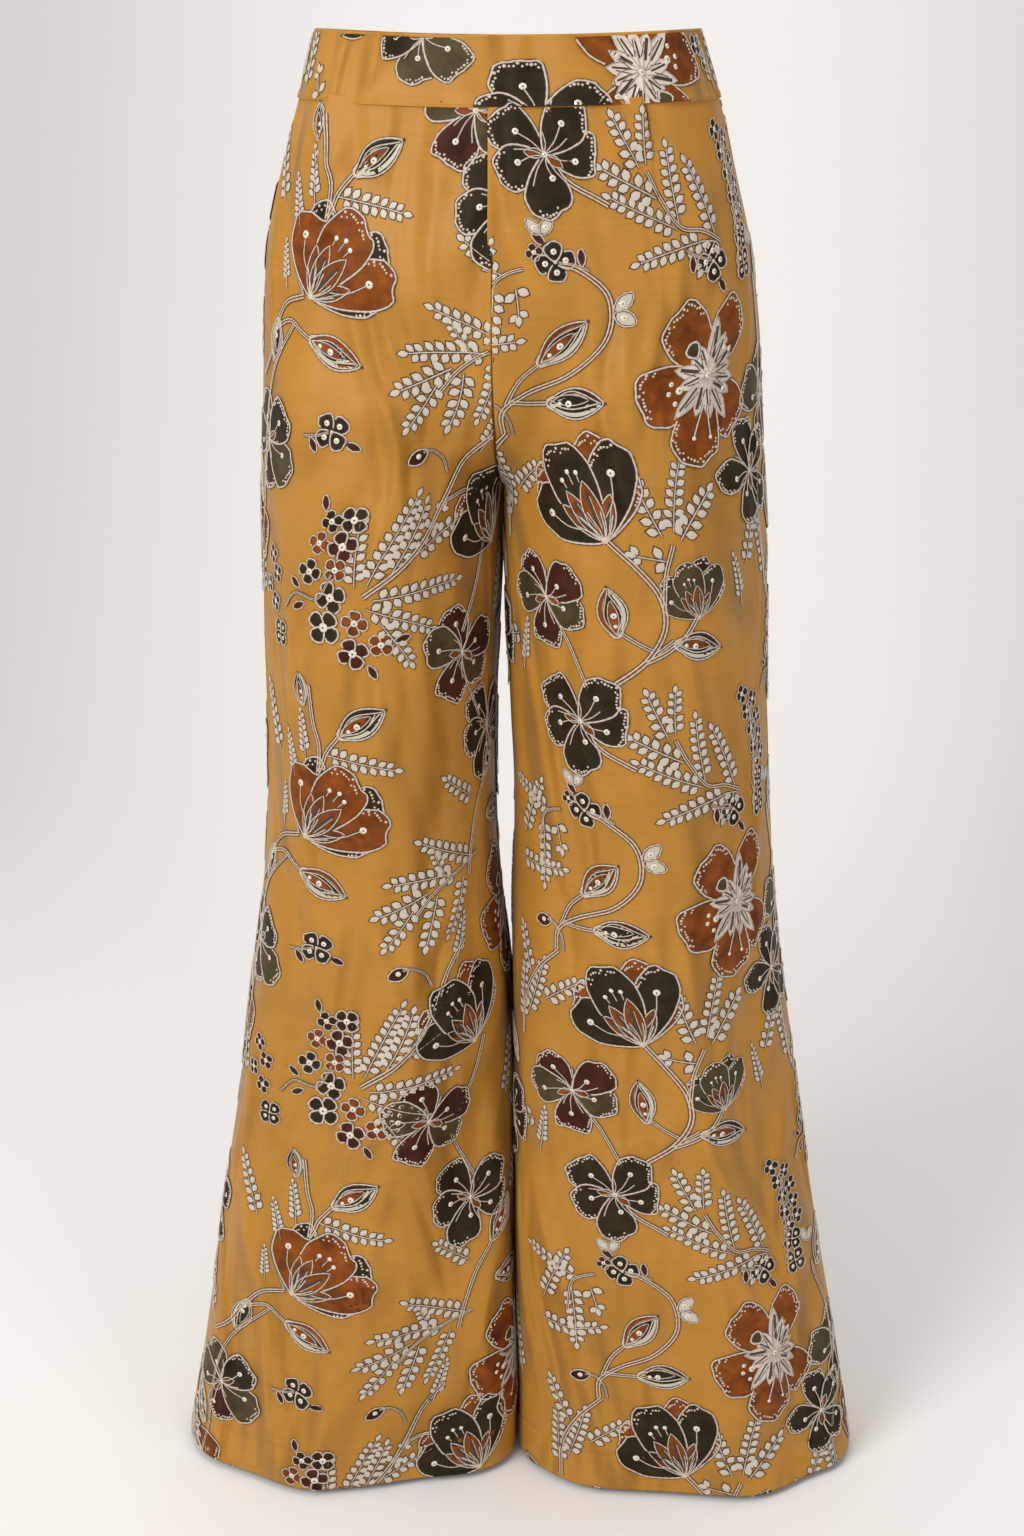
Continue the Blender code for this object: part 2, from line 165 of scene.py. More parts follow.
def level(drop):
    """The section at each drop, on a smooth curve through the table, as a dict of arrays."""
    table = np.array(SECTIONS)
    heights = table[:, 0]
    low = np.clip(np.searchsorted(heights, drop, side="right") - 1, 0, len(heights) - 2)
    span = heights[low + 1] - heights[low]
    t = np.clip((drop - heights[low]) / span, 0.0, 1.0)
    before = np.maximum(np.arange(len(heights)) - 1, 0)
    after = np.minimum(np.arange(len(heights)) + 1, len(heights) - 1)
    found = {}
    for i, name in enumerate(Section._fields[1:], start=1):
        column = table[:, i]
        slope = (column[after] - column[before]) / (heights[after] - heights[before])
        found[name] = (
            column[low] * (1 + 2 * t) * (1 - t) ** 2 + slope[low] * span * t * (1 - t) ** 2
            + column[low + 1] * t * t * (3 - 2 * t) + slope[low + 1] * span * t * t * (t - 1)
        )
    found["gap"] = np.maximum(found["gap"], LEAST_GAP)
    return found


def hip_share(turn, drop):
    """1 where the cloth follows the hip's oval, 0 where it follows the leg's tube."""
    under = np.clip((drop - CROTCH_CURVE_TOP) / (CROTCH_DROP - CROTCH_CURVE_TOP), 0.0, 1.0)
    at_seam = np.sqrt(1.0 - under * under)
    on_body = smooth((BODY_BLEND_END - drop) / (BODY_BLEND_END - BODY_BLEND_TOP))
    from_seam = smooth(np.minimum(np.abs(turn), np.abs(1.0 - turn)) / CROTCH_REACH)
    return at_seam + (on_body - at_seam) * from_seam


def half_girth(drop):
    """Length of the cloth round one half, for turning widths into turns."""
    here = level(drop)
    width = (here["left"] + here["right"]) / 2
    depth = (here["front"] + here["back"]) / 2
    hip = math.pi * np.hypot(width, depth) / math.sqrt(2)
    leg = 2 * math.pi * np.hypot(width / 2, depth) / math.sqrt(2)
    share = smooth((BODY_BLEND_END - drop) / (BODY_BLEND_END - BODY_BLEND_TOP))
    return leg + (hip - leg) * share


def fold_height(side, turn, drop):
    """How far the large folds and the tucks move the cloth outwards."""
    girth = half_girth(drop)
    total = np.zeros(np.broadcast(turn, drop).shape)
    for fold in FOLDS:
        if fold.side != side:
            continue
        along = (drop - fold.drop_top) / (fold.drop_low - fold.drop_top)
        line = fold.turn_top + (fold.turn_low - fold.turn_top) * along
        fade = smooth((drop - fold.drop_top) / FOLD_FADE)
        if fold.drop_low < OUTSEAM:
            fade = fade * smooth((fold.drop_low - drop) / FOLD_FADE)
        across = (turn - line) * girth / fold.width
        total += fold.height * fade * np.exp(-across * across)
    total = total * smooth(np.minimum(np.abs(turn), 1.0 - turn) / INSEAM_CALM)
    for tuck in TUCKS:
        if tuck.side != side:
            continue
        below = drop - BAND_DEPTH
        across = (tuck.turn - turn) * girth
        crisp = smooth(across / TUCK_EDGE + 0.5) * (1 - smooth(below / tuck.length - 0.4))
        soft = np.exp(-(across / TUCK_WIDTH) ** 2) * smooth(1 - below / TUCK_FADE)
        total += tuck.height * soft * np.where(across < 0, 0.5 + 0.5 * crisp, 1.0)
    return total


def half_width(side, here):
    """From the middle to the outline, on one side."""
    return here["left"] - here["middle"] if side > 0 else here["right"] + here["middle"]


def form(side, turn, drop):
    """Points of the garment before its folds."""
    turn, drop = np.broadcast_arrays(np.asarray(turn, float), np.asarray(drop, float))
    here = level(drop)
    outline = half_width(side, here)
    depth = np.where(turn < 0.5, here["front"], here["back"])
    hip_angle = math.pi * turn
    ahead = np.cos(hip_angle)
    hip_x = outline * np.sin(hip_angle)
    hip_y = -depth * np.copysign(np.abs(ahead) ** HIP_SQUARE, ahead)
    centre = (outline + here["gap"]) / 2
    radius = (outline - here["gap"]) / 2
    square = LEG_SQUARE_OUT + (LEG_SQUARE_IN - LEG_SQUARE_OUT) * (0.5 + 0.5 * np.cos(2 * hip_angle))
    square = 1 - (1 - square) * smooth((drop - LEG_SQUARE_TOP) / (OUTSEAM - LEG_SQUARE_TOP))
    forwards = np.sin(2 * hip_angle)
    leg_x = centre - radius * np.cos(2 * hip_angle)
    leg_y = -depth * np.copysign(np.abs(forwards) ** square, forwards) + here["set_back"]
    share = hip_share(turn, drop)
    x = leg_x + (hip_x - leg_x) * share
    y = leg_y + (hip_y - leg_y) * share
    dip = WAIST_DIP * ahead * ahead * smooth(1 - drop / DIP_END)
    return np.stack([here["middle"] + side * x, y, -drop - dip], axis=-1)


def outward(side, turn, drop, step=0.002):
    """The cloth's outward direction, from its neighbours along and across."""
    across = form(side, turn + step, drop) - form(side, turn - step, drop)
    down = form(side, turn, drop + step) - form(side, turn, drop - step)
    out = np.cross(down, across) * side
    return out / np.linalg.norm(out, axis=-1, keepdims=True)


def fly_share(drop):
    """1 where the mock fly laps over, 0 below it."""
    return 1 - smooth((drop - FLY_END) / FLY_FADE + 0.5)


# ---------------------------------------------------------------- leg panels


class Panel(NamedTuple):
    """A leg panel's place: which half of the garment, and front or back."""
    node: str
    side: int
    front: bool


PANELS = [
    Panel("front_leg_left", +1, True),
    Panel("front_leg_right", -1, True),
    Panel("back_leg_left", +1, False),
    Panel("back_leg_right", -1, False),
]
PANEL_COLUMNS = 66
PANEL_ROWS = 168
GRAIN = 0.25               # the grain line down the middle of a leg, in turns from its inseam
HIP_GRAIN = 0.165          # and over the hip
GRAIN_BEND = (0.20, 0.36)  # it passes from one to the other between these drops
SEAM_GAP = 0.0003
SEAM_ROLL = 0.0016         # the cloth rolls in over this width beside a seam
SEAM_SINK = 0.0007
CLOTH = 0.0006             # the silk with its print
UNDERLAP = 0.0035          # how far the right front runs under the fly's lap


class Crease(NamedTuple):
    """A small crease on a panel's flat cut: a ridge, or a trough where its height is negative."""
    x: float
    y: float
    length: float
    lean: float      # degrees from the grain, positive to the right as it falls
    width: float
    height: float


CREASES = {
    "front_leg_left": [
        Crease(0.012, 0.078, 0.10, 38, 0.006, 0.0015),
        Crease(0.030, 0.100, 0.11, 30, 0.008, -0.0014),
        Crease(0.052, 0.095, 0.09, 22, 0.006, 0.0012),
        Crease(-0.028, 0.068, 0.05, -16, 0.004, -0.0011),
        Crease(-0.072, 0.110, 0.10, -14, 0.008, -0.0010),
        Crease(0.040, 0.240, 0.16, 3, 0.010, -0.0013),
        Crease(-0.030, 0.330, 0.14, 14, 0.009, 0.0012),
        Crease(0.085, 0.400, 0.17, -5, 0.011, -0.0014),
        Crease(0.048, 0.520, 0.12, -18, 0.008, 0.0012),
        Crease(-0.030, 0.560, 0.18, 4, 0.010, -0.0014),
        Crease(0.085, 0.610, 0.10, -28, 0.007, 0.0015),
        Crease(0.062, 0.640, 0.09, -33, 0.006, -0.0014),
        Crease(0.038, 0.730, 0.15, -12, 0.009, 0.0014),
        Crease(-0.060, 0.740, 0.13, 9, 0.008, -0.0013),
        Crease(0.100, 0.780, 0.14, -16, 0.008, 0.0015),
        Crease(0.015, 0.860, 0.17, 6, 0.010, -0.0014),
        Crease(0.122, 0.900, 0.12, -20, 0.007, -0.0016),
        Crease(0.078, 0.940, 0.16, -8, 0.009, 0.0015),
        Crease(-0.072, 0.930, 0.15, 5, 0.009, 0.0013),
    ],
    "front_leg_right": [
        Crease(-0.030, 0.070, 0.07, -34, 0.005, 0.0013),
        Crease(-0.010, 0.085, 0.09, 44, 0.006, -0.0013),
        Crease(0.035, 0.085, 0.07, 30, 0.006, 0.0010),
        Crease(-0.020, 0.170, 0.12, -10, 0.008, 0.0011),
        Crease(0.060, 0.180, 0.16, -4, 0.011, -0.0022),
        Crease(0.040, 0.290, 0.15, 8, 0.010, -0.0012),
        Crease(-0.055, 0.380, 0.16, -6, 0.010, 0.0012),
        Crease(0.055, 0.590, 0.10, -34, 0.006, 0.0016),
        Crease(0.038, 0.630, 0.12, -30, 0.007, -0.0017),
        Crease(0.070, 0.655, 0.09, -40, 0.005, 0.0015),
        Crease(0.020, 0.690, 0.10, -26, 0.006, 0.0013),
        Crease(-0.060, 0.700, 0.18, -8, 0.011, -0.0013),
        Crease(0.065, 0.790, 0.12, -20, 0.007, -0.0014),
        Crease(-0.030, 0.860, 0.15, -12, 0.009, 0.0014),
        Crease(0.035, 0.900, 0.12, -26, 0.007, 0.0015),
        Crease(0.000, 0.955, 0.11, -34, 0.006, -0.0017),
        Crease(-0.032, 0.985, 0.10, -28, 0.006, 0.0016),
        Crease(0.062, 0.980, 0.10, -18, 0.006, -0.0014),
        Crease(-0.100, 0.930, 0.17, -6, 0.010, 0.0012),
    ],
    "back_leg_left": [
        Crease(0.060, 0.110, 0.12, 30, 0.010, 0.0012),
        Crease(-0.030, 0.280, 0.14, -34, 0.010, -0.0016),
        Crease(0.015, 0.315, 0.13, -42, 0.009, 0.0017),
        Crease(0.045, 0.350, 0.12, -38, 0.009, -0.0015),
        Crease(-0.045, 0.480, 0.18, -4, 0.011, 0.0013),
        Crease(0.035, 0.560, 0.12, 24, 0.009, 0.0014),
        Crease(-0.020, 0.600, 0.12, 30, 0.008, -0.0015),
        Crease(-0.070, 0.740, 0.18, 6, 0.011, 0.0013),
        Crease(0.060, 0.800, 0.15, -8, 0.009, -0.0013),
        Crease(-0.010, 0.900, 0.17, -4, 0.010, 0.0014),
        Crease(-0.095, 0.950, 0.13, 10, 0.008, -0.0014),
    ],
    "back_leg_right": [
        Crease(-0.055, 0.120, 0.11, -26, 0.010, -0.0012),
        Crease(0.025, 0.290, 0.13, 36, 0.010, 0.0015),
        Crease(-0.020, 0.325, 0.14, 40, 0.009, -0.0017),
        Crease(-0.050, 0.370, 0.11, 44, 0.008, 0.0014),
        Crease(0.050, 0.520, 0.17, -5, 0.011, -0.0013),
        Crease(-0.030, 0.585, 0.13, 22, 0.008, -0.0014),
        Crease(0.025, 0.640, 0.11, 30, 0.008, 0.0015),
        Crease(0.065, 0.800, 0.17, 7, 0.011, -0.0013),
        Crease(-0.055, 0.850, 0.14, -9, 0.009, 0.0013),
        Crease(0.015, 0.960, 0.12, -14, 0.008, 0.0014),
    ],
}
CREASE_GAIN = 1.7
RIPPLES = [(0.075, 0.0014), (0.030, 0.00055)]   # (size, height) of the cloth's faint unevenness


class Cut(NamedTuple):
    """A piece's fine grid: where each point lies flat, on the garment, and which way is out.

    Flat, x runs to the right as one faces the cloth, from the grain line or the band's middle, and y down.
    """
    x: np.ndarray
    y: np.ndarray
    place: np.ndarray
    out: np.ndarray


def spaced(start, end, count, dense):
    """Even steps from start to end, with extra ones close to each dense value."""
    steps = set(np.linspace(start, end, count + 1))
    for value, reach in dense:
        for share in (-1.0, -0.55, -0.25, -0.08, 0.08, 0.25, 0.55, 1.0):
            near = value + share * reach
            if start < near < end:
                steps.add(near)
    steps = sorted(steps)
    least = (end - start) / count / 14
    kept = [steps[0]]
    for step in steps[1:]:
        if step - kept[-1] > least:
            kept.append(step)
    kept[-1] = end
    return np.array(kept)


def flat_x(side, turns, drop, grain):
    """How far round the cloth each turn lies from the grain line, in metres, at one drop."""
    fine = np.linspace(min(turns.min(), grain), max(turns.max(), grain), 160)
    points = form(side, fine, np.full(fine.shape, drop))
    lengths = np.concatenate([[0], np.cumsum(np.linalg.norm(np.diff(points, axis=0), axis=1))])
    lengths -= np.interp(grain, fine, lengths)
    return np.interp(turns, fine, lengths)


def crease_height(panel, x, y):
    """How far the panel's creases lift its cloth: each a short ridge that wanders and dies out at its ends."""
    total = np.zeros(x.shape)
    for crease in CREASES[panel.node]:
        lean = math.radians(crease.lean)
        away, down = x - crease.x, y - crease.y
        along = away * math.sin(lean) + down * math.cos(lean)
        across = away * math.cos(lean) - down * math.sin(lean)
        window = smooth(1 - np.abs(along) / (crease.length / 2))
        wander = 0.18 * crease.width * np.sin(along * 55 + crease.x * 90)
        total += crease.height * window * np.exp(-((across + wander) / crease.width) ** 2)
    return total


def ripple_height(panel, x, y):
    """The faint unevenness that all the cloth has."""
    total = np.zeros(x.shape)
    shift = 3.1 * PANELS.index(panel)
    for size, height in RIPPLES:
        total += height * np.array([
            [noise.noise(Vector((a / size + shift, b / size * 0.55, shift))) for a, b in zip(row_x, row_y)]
            for row_x, row_y in zip(x, y)
        ])
    return total


def tuck_edge(side, turn, drop):
    """The sharp fold of a tuck: a lip on its near side and a groove beyond it, fading down the cloth."""
    tuck = next(t for t in TUCKS if t.side == side)
    below = (drop - BAND_DEPTH) / tuck.length
    across = (tuck.turn - turn) * half_girth(drop)
    lip = TUCK_LIP * np.exp(-(across / 0.007) ** 2) * (across > 0)
    groove = TUCK_GROOVE * np.exp(-((across + 0.0006) / 0.0011) ** 2)
    return (lip - groove) * (1 - smooth(below * 0.9 - 0.25))


def facing(place):
    """Outward directions of a grid whose columns run to the right and whose rows run down."""
    out = np.cross(np.gradient(place, axis=0), np.gradient(place, axis=1))
    return out / np.linalg.norm(out, axis=-1, keepdims=True)


def cut_panel(panel):
    """The fine grid of a leg panel, with its folds, creases, rolled seams and hem."""
    under_band = BAND_DEPTH - 0.004
    drops = spaced(under_band, OUTSEAM, PANEL_ROWS,
                   [(BAND_DEPTH, 0.006), (OUTSEAM - HEM_DEPTH, 0.004), (OUTSEAM, 0.005)])
    dense = [(0.0, 0.03), (1.0, 0.03)]
    lap = FLY_LAP if panel.side > 0 else UNDERLAP - FLY_LAP
    if panel.front:
        past = lap / half_girth(BAND_DEPTH)
        dense += [((t.turn + past) / (0.5 + past), 0.026) for t in TUCKS if t.side == panel.side]
    shares = spaced(0.0, 1.0, PANEL_COLUMNS, dense)
    x = np.zeros((len(drops), len(shares)))
    turns = np.zeros(x.shape)
    lifts = np.zeros(x.shape)
    for i, drop in enumerate(drops):
        girth = half_girth(drop)
        gap = SEAM_GAP / 2 / girth
        on_hip = 1 - smooth((drop - GRAIN_BEND[0]) / (GRAIN_BEND[1] - GRAIN_BEND[0]))
        grain = GRAIN + (HIP_GRAIN - GRAIN) * on_hip
        if panel.front:
            start, end = gap - lap / girth * fly_share(drop), 0.5 - gap
        else:
            start, end, grain = 0.5 + gap, 1 - gap, 1 - grain
        turns[i] = start + (end - start) * shares
        x[i] = flat_x(panel.side, turns[i], drop, grain) * panel.side
        edges = np.minimum(turns[i] - start, end - turns[i]) * girth
        lifts[i] -= SEAM_SINK * (1 - smooth(edges / SEAM_ROLL))
        from_fly = (turns[i] - start) * girth
        if panel.front and panel.side > 0:
            lifts[i] += (FLY_LIP + SEAM_SINK) * fly_share(drop) * (1 - smooth(from_fly / FLY_LIP_WIDTH))
        elif panel.front:
            lifts[i] -= FLY_SHADE * fly_share(drop) * (1 - smooth(from_fly / UNDERLAP - 0.8))
    y = np.repeat(drops[:, None], len(shares), axis=1)
    lifts += fold_height(panel.side, turns, y)
    if panel.front:
        lifts += tuck_edge(panel.side, turns, y)
    calm = smooth((y - BAND_DEPTH) / 0.03) * (0.35 + 0.65 * smooth((OUTSEAM - y) / 0.05))
    lifts += (CREASE_GAIN * crease_height(panel, x, y) + ripple_height(panel, x, y)) * calm
    lifts -= HEM_GROOVE * np.exp(-((y - (OUTSEAM - HEM_DEPTH)) / HEM_GROOVE_WIDTH) ** 2)
    place = form(panel.side, turns, y) + outward(panel.side, turns, y) * lifts[..., None]
    if panel.side < 0:
        x, y, place = x[:, ::-1], y[:, ::-1], place[:, ::-1]
    return Cut(x, y, place, facing(place))


def linked(name, bm, *finishes):
    """A new piece from a bmesh, with its materials."""
    mesh = bpy.data.meshes.new(name)
    bm.to_mesh(mesh)
    bm.free()
    piece = bpy.data.objects.new(name, mesh)
    for finish in finishes:
        mesh.materials.append(finish)
    bpy.context.scene.collection.objects.link(piece)
    return piece


def lay_map(mesh, x, y):
    """Gives each point its place on the flat cut, in metres, as the UV map."""
    corners = np.zeros(len(mesh.loops), int)
    mesh.loops.foreach_get("vertex_index", corners)
    mesh.uv_layers.new(name="Cut").data.foreach_set("uv", np.stack([x, -y], axis=-1)[corners].ravel())


def cloth_piece(name, cut, finish):
    """A smooth sheet of cloth on its grid."""
    rows, columns = cut.x.shape
    bm = bmesh.new()
    bmesh.ops.create_grid(bm, x_segments=columns - 1, y_segments=rows - 1, size=0.5)
    piece = linked(name, bm, finish)
    mesh = piece.data
    spots = np.zeros(len(mesh.vertices) * 3)
    mesh.vertices.foreach_get("co", spots)
    spots = spots.reshape(-1, 3)
    column = np.rint((spots[:, 0] + 0.5) * (columns - 1)).astype(int)
    row = np.rint((0.5 - spots[:, 1]) * (rows - 1)).astype(int)
    mesh.vertices.foreach_set("co", cut.place[row, column].ravel())
    lay_map(mesh, cut.x[row, column], cut.y[row, column])
    mesh.shade_smooth()
    mesh.update()
    return piece


def add_wall(piece, thickness):
    """Gives the sheet its cloth's thickness, inwards."""
    solid = piece.modifiers.new("Wall", "SOLIDIFY")
    solid.thickness = thickness
    solid.offset = -1.0


# ---------------------------------------------------------------- materials

GOLD = (0.395, 0.179, 0.0225)
PRINT_COLOURS = {
    "dark": ((0.0135, 0.0088, 0.0032), (0.030, 0.021, 0.0085)),
    "olive": ((0.036, 0.027, 0.0095), (0.076, 0.059, 0.024)),
    "rust": ((0.100, 0.023, 0.0028), (0.255, 0.066, 0.0075)),
    "maroon": ((0.026, 0.0062, 0.0036), (0.066, 0.0160, 0.0080)),
    "star": ((0.50, 0.42, 0.36), (0.62, 0.54, 0.47)),
}


class Stitching(NamedTuple):
    colour: tuple
    roughness: float
    sheen: float
    coat: float


STITCH_LOOKS = {
    "thread": Stitching((0.50, 0.41, 0.33), 0.45, 0.3, 0.0),
    "contour": Stitching((0.028, 0.013, 0.007), 0.6, 0.1, 0.0),
    "leaflet": Stitching((0.47, 0.44, 0.37), 0.5, 0.3, 0.0),
    "sequin": Stitching((0.62, 0.56, 0.48), 0.22, 0.0, 0.5),
    "stripe": Stitching((0.45, 0.415, 0.32), 0.5, 0.2, 0.0),
}


def new_material(name):
    """A node material, with its nodes and links."""
    made = bpy.data.materials.new(name)
    made.use_nodes = True
    return made, made.node_tree.nodes, made.node_tree.links


def node_group(name, inputs, outputs):
    """An empty node group with named float, colour or vector sockets."""
    tree = bpy.data.node_groups.new(name, "ShaderNodeTree")
    for socket, kind, value in inputs:
        made = tree.interface.new_socket(name=socket, in_out="INPUT", socket_type=f"NodeSocket{kind}")
        if value is not None:
            made.default_value = value
    for socket, kind in outputs:
        tree.interface.new_socket(name=socket, in_out="OUTPUT", socket_type=f"NodeSocket{kind}")
    return tree, tree.nodes.new("NodeGroupInput").outputs, tree.nodes.new("NodeGroupOutput").inputs


def add_node(nodes, kind, **values):
    node = nodes.new(kind)
    for name, value in values.items():
        setattr(node, name, value)
    return node


def mottle_group():
    """Soft uneven dye: a value round 0.5, from large clouds, small clouds and fine slubs along the weft."""
    tree, given, out = node_group("Mottle", [("Vector", "Vector", None), ("Cloud", "Float", 14.0),
                                             ("Slub", "Float", 0.25)], [("Value", "Float")])
    nodes, links = tree.nodes, tree.links
    clouds = add_node(nodes, "ShaderNodeTexNoise", noise_dimensions="2D")
    clouds.inputs["Detail"].default_value = 3.0
    clouds.inputs["Roughness"].default_value = 0.55
    clouds.inputs["Distortion"].default_value = 0.35
    links.new(given["Vector"], clouds.inputs["Vector"])
    links.new(given["Cloud"], clouds.inputs["Scale"])
    drawn = add_node(nodes, "ShaderNodeMapping")
    drawn.inputs["Scale"].default_value = (28.0, 420.0, 1.0)
    slubs = add_node(nodes, "ShaderNodeTexNoise", noise_dimensions="2D")
    slubs.inputs["Scale"].default_value = 1.0
    slubs.inputs["Detail"].default_value = 2.0
    links.new(given["Vector"], drawn.inputs["Vector"])
    links.new(drawn.outputs["Vector"], slubs.inputs["Vector"])
    mixed = add_node(nodes, "ShaderNodeMix", data_type="FLOAT")
    links.new(given["Slub"], mixed.inputs["Factor"])
    links.new(clouds.outputs["Fac"], mixed.inputs["A"])
    links.new(slubs.outputs["Fac"], mixed.inputs["B"])
    links.new(mixed.outputs["Result"], out["Value"])
    return tree


def twill_group():
    """The height of a fine diagonal weave."""
    tree, given, out = node_group("Twill", [("Vector", "Vector", None), ("Pitch", "Float", 260.0)],
                                  [("Height", "Float")])
    nodes, links = tree.nodes, tree.links
    turned_map = add_node(nodes, "ShaderNodeMapping")
    turned_map.inputs["Rotation"].default_value = (0, 0, math.radians(52))
    wave = add_node(nodes, "ShaderNodeTexWave", wave_type="BANDS", bands_direction="X")
    wave.inputs["Distortion"].default_value = 1.2
    wave.inputs["Detail"].default_value = 1.0
    links.new(given["Vector"], turned_map.inputs["Vector"])
    links.new(turned_map.outputs["Vector"], wave.inputs["Vector"])
    links.new(given["Pitch"], wave.inputs["Scale"])
    links.new(wave.outputs["Fac"], out["Height"])
    return tree


def crumple_group():
    """The height of the cloth's small soft creases, longer down the grain than across."""
    tree, given, out = node_group("Crumple", [("Vector", "Vector", None)], [("Height", "Float")])
    nodes, links = tree.nodes, tree.links
    total = None
    for kind, scale, turn, share in (("RIDGED_MULTIFRACTAL", (20.0, 6.0, 1.0), 16, 0.30),
                                     ("FBM", (13.0, 4.5, 1.0), -14, 1.0)):
        place = add_node(nodes, "ShaderNodeMapping")
        place.inputs["Scale"].default_value = scale
        place.inputs["Rotation"].default_value = (0, 0, math.radians(turn))
        folds = add_node(nodes, "ShaderNodeTexNoise", noise_dimensions="2D", noise_type=kind)
        folds.inputs["Scale"].default_value = 1.0
        folds.inputs["Detail"].default_value = 2.0
        folds.inputs["Distortion"].default_value = 0.4
        links.new(given["Vector"], place.inputs["Vector"])
        links.new(place.outputs["Vector"], folds.inputs["Vector"])
        scaled = add_node(nodes, "ShaderNodeMath", operation="MULTIPLY_ADD")
        scaled.inputs[1].default_value = share
        scaled.inputs[2].default_value = 0.0
        links.new(folds.outputs["Fac"], scaled.inputs[0])
        if total:
            links.new(total, scaled.inputs[2])
        total = scaled.outputs["Value"]
    links.new(total, out["Height"])
    return tree


def dyed_cloth(name, low, high, mottle, twill, cloud, slub, roughness, sheen, specular=0.3, gain=1.0):
    """Woven cloth whose dye varies between two colours."""
    made, nodes, links = new_material(name)
    shader = nodes["Principled BSDF"]
    shader.inputs["Sheen Weight"].default_value = sheen
    shader.inputs["Sheen Roughness"].default_value = 0.45
    shader.inputs["Sheen Tint"].default_value = (1.0, 0.86, 0.62, 1)
    shader.inputs["Specular IOR Level"].default_value = specular
    cut_map = add_node(nodes, "ShaderNodeUVMap", uv_map="Cut")
    dye = add_node(nodes, "ShaderNodeGroup", node_tree=mottle)
    dye.inputs["Cloud"].default_value = cloud
    dye.inputs["Slub"].default_value = slub
    links.new(cut_map.outputs["UV"], dye.inputs["Vector"])
    ramp = add_node(nodes, "ShaderNodeValToRGB")
    ramp.color_ramp.elements[0].position = 0.5 - 0.2 / gain
    ramp.color_ramp.elements[0].color = (*low, 1)
    ramp.color_ramp.elements[1].position = 0.5 + 0.2 / gain
    ramp.color_ramp.elements[1].color = (*high, 1)
    links.new(dye.outputs["Value"], ramp.inputs["Fac"])
    links.new(ramp.outputs["Color"], shader.inputs["Base Color"])
    gloss = add_node(nodes, "ShaderNodeMapRange")
    gloss.inputs["To Min"].default_value = roughness - 0.05
    gloss.inputs["To Max"].default_value = roughness + 0.07
    links.new(dye.outputs["Value"], gloss.inputs["Value"])
    links.new(gloss.outputs["Result"], shader.inputs["Roughness"])
    weave = add_node(nodes, "ShaderNodeGroup", node_tree=twill)
    links.new(cut_map.outputs["UV"], weave.inputs["Vector"])
    soft = add_node(nodes, "ShaderNodeGroup", node_tree=crumple)
    links.new(cut_map.outputs["UV"], soft.inputs["Vector"])
    creased = add_node(nodes, "ShaderNodeBump")
    creased.inputs["Strength"].default_value = 0.9
    creased.inputs["Distance"].default_value = 0.050
    links.new(soft.outputs["Height"], creased.inputs["Height"])
    bump = add_node(nodes, "ShaderNodeBump")
    links.new(creased.outputs["Normal"], bump.inputs["Normal"])
    bump.inputs["Strength"].default_value = 0.25
    bump.inputs["Distance"].default_value = 0.0002
    links.new(weave.outputs["Height"], bump.inputs["Height"])
    links.new(bump.outputs["Normal"], shader.inputs["Normal"])
    return made


def stitched_material(name, look):
    """Silk thread or sequins. The relief is in the stitches' own shapes."""
    made, nodes, links = new_material(name)
    shader = nodes["Principled BSDF"]
    shader.inputs["Base Color"].default_value = (*look.colour, 1)
    shader.inputs["Roughness"].default_value = look.roughness
    shader.inputs["Sheen Weight"].default_value = look.sheen
    shader.inputs["Coat Weight"].default_value = look.coat
    shader.inputs["Coat Roughness"].default_value = 0.15
    return made


def zip_tape_cloth():
    """The zip's ribbed tape."""
    made, nodes, links = new_material("Zip tape weave")
    shader = nodes["Principled BSDF"]
    shader.inputs["Roughness"].default_value = 0.75
    shader.inputs["Sheen Weight"].default_value = 0.2
    place = add_node(nodes, "ShaderNodeTexCoord")
    ribs = add_node(nodes, "ShaderNodeTexWave", wave_type="BANDS", bands_direction="Z")
    ribs.inputs["Scale"].default_value = 420.0
    ribs.inputs["Distortion"].default_value = 0.8
    links.new(place.outputs["Object"], ribs.inputs["Vector"])
    ramp = add_node(nodes, "ShaderNodeValToRGB")
    ramp.color_ramp.elements[0].color = (0.26, 0.120, 0.022, 1)
    ramp.color_ramp.elements[1].color = (0.38, 0.185, 0.045, 1)
    links.new(ribs.outputs["Fac"], ramp.inputs["Fac"])
    links.new(ramp.outputs["Color"], shader.inputs["Base Color"])
    return made


def zip_brass():
    """Lacquered brass, brushed by use."""
    made, nodes, links = new_material("Lacquered brass")
    shader = nodes["Principled BSDF"]
    shader.inputs["Metallic"].default_value = 1.0
    shader.inputs["Coat Weight"].default_value = 0.3
    place = add_node(nodes, "ShaderNodeTexCoord")
    wear = add_node(nodes, "ShaderNodeTexNoise")
    wear.inputs["Scale"].default_value = 900.0
    wear.inputs["Detail"].default_value = 4.0
    links.new(place.outputs["Object"], wear.inputs["Vector"])
    ramp = add_node(nodes, "ShaderNodeValToRGB")
    ramp.color_ramp.elements[0].color = (0.40, 0.255, 0.095, 1)
    ramp.color_ramp.elements[1].color = (0.62, 0.44, 0.20, 1)
    links.new(wear.outputs["Fac"], ramp.inputs["Fac"])
    links.new(ramp.outputs["Color"], shader.inputs["Base Color"])
    gloss = add_node(nodes, "ShaderNodeMapRange")
    gloss.inputs["To Min"].default_value = 0.22
    gloss.inputs["To Max"].default_value = 0.42
    links.new(wear.outputs["Fac"], gloss.inputs["Value"])
    links.new(gloss.outputs["Result"], shader.inputs["Roughness"])
    return made


# ---------------------------------------------------------------- embroidery

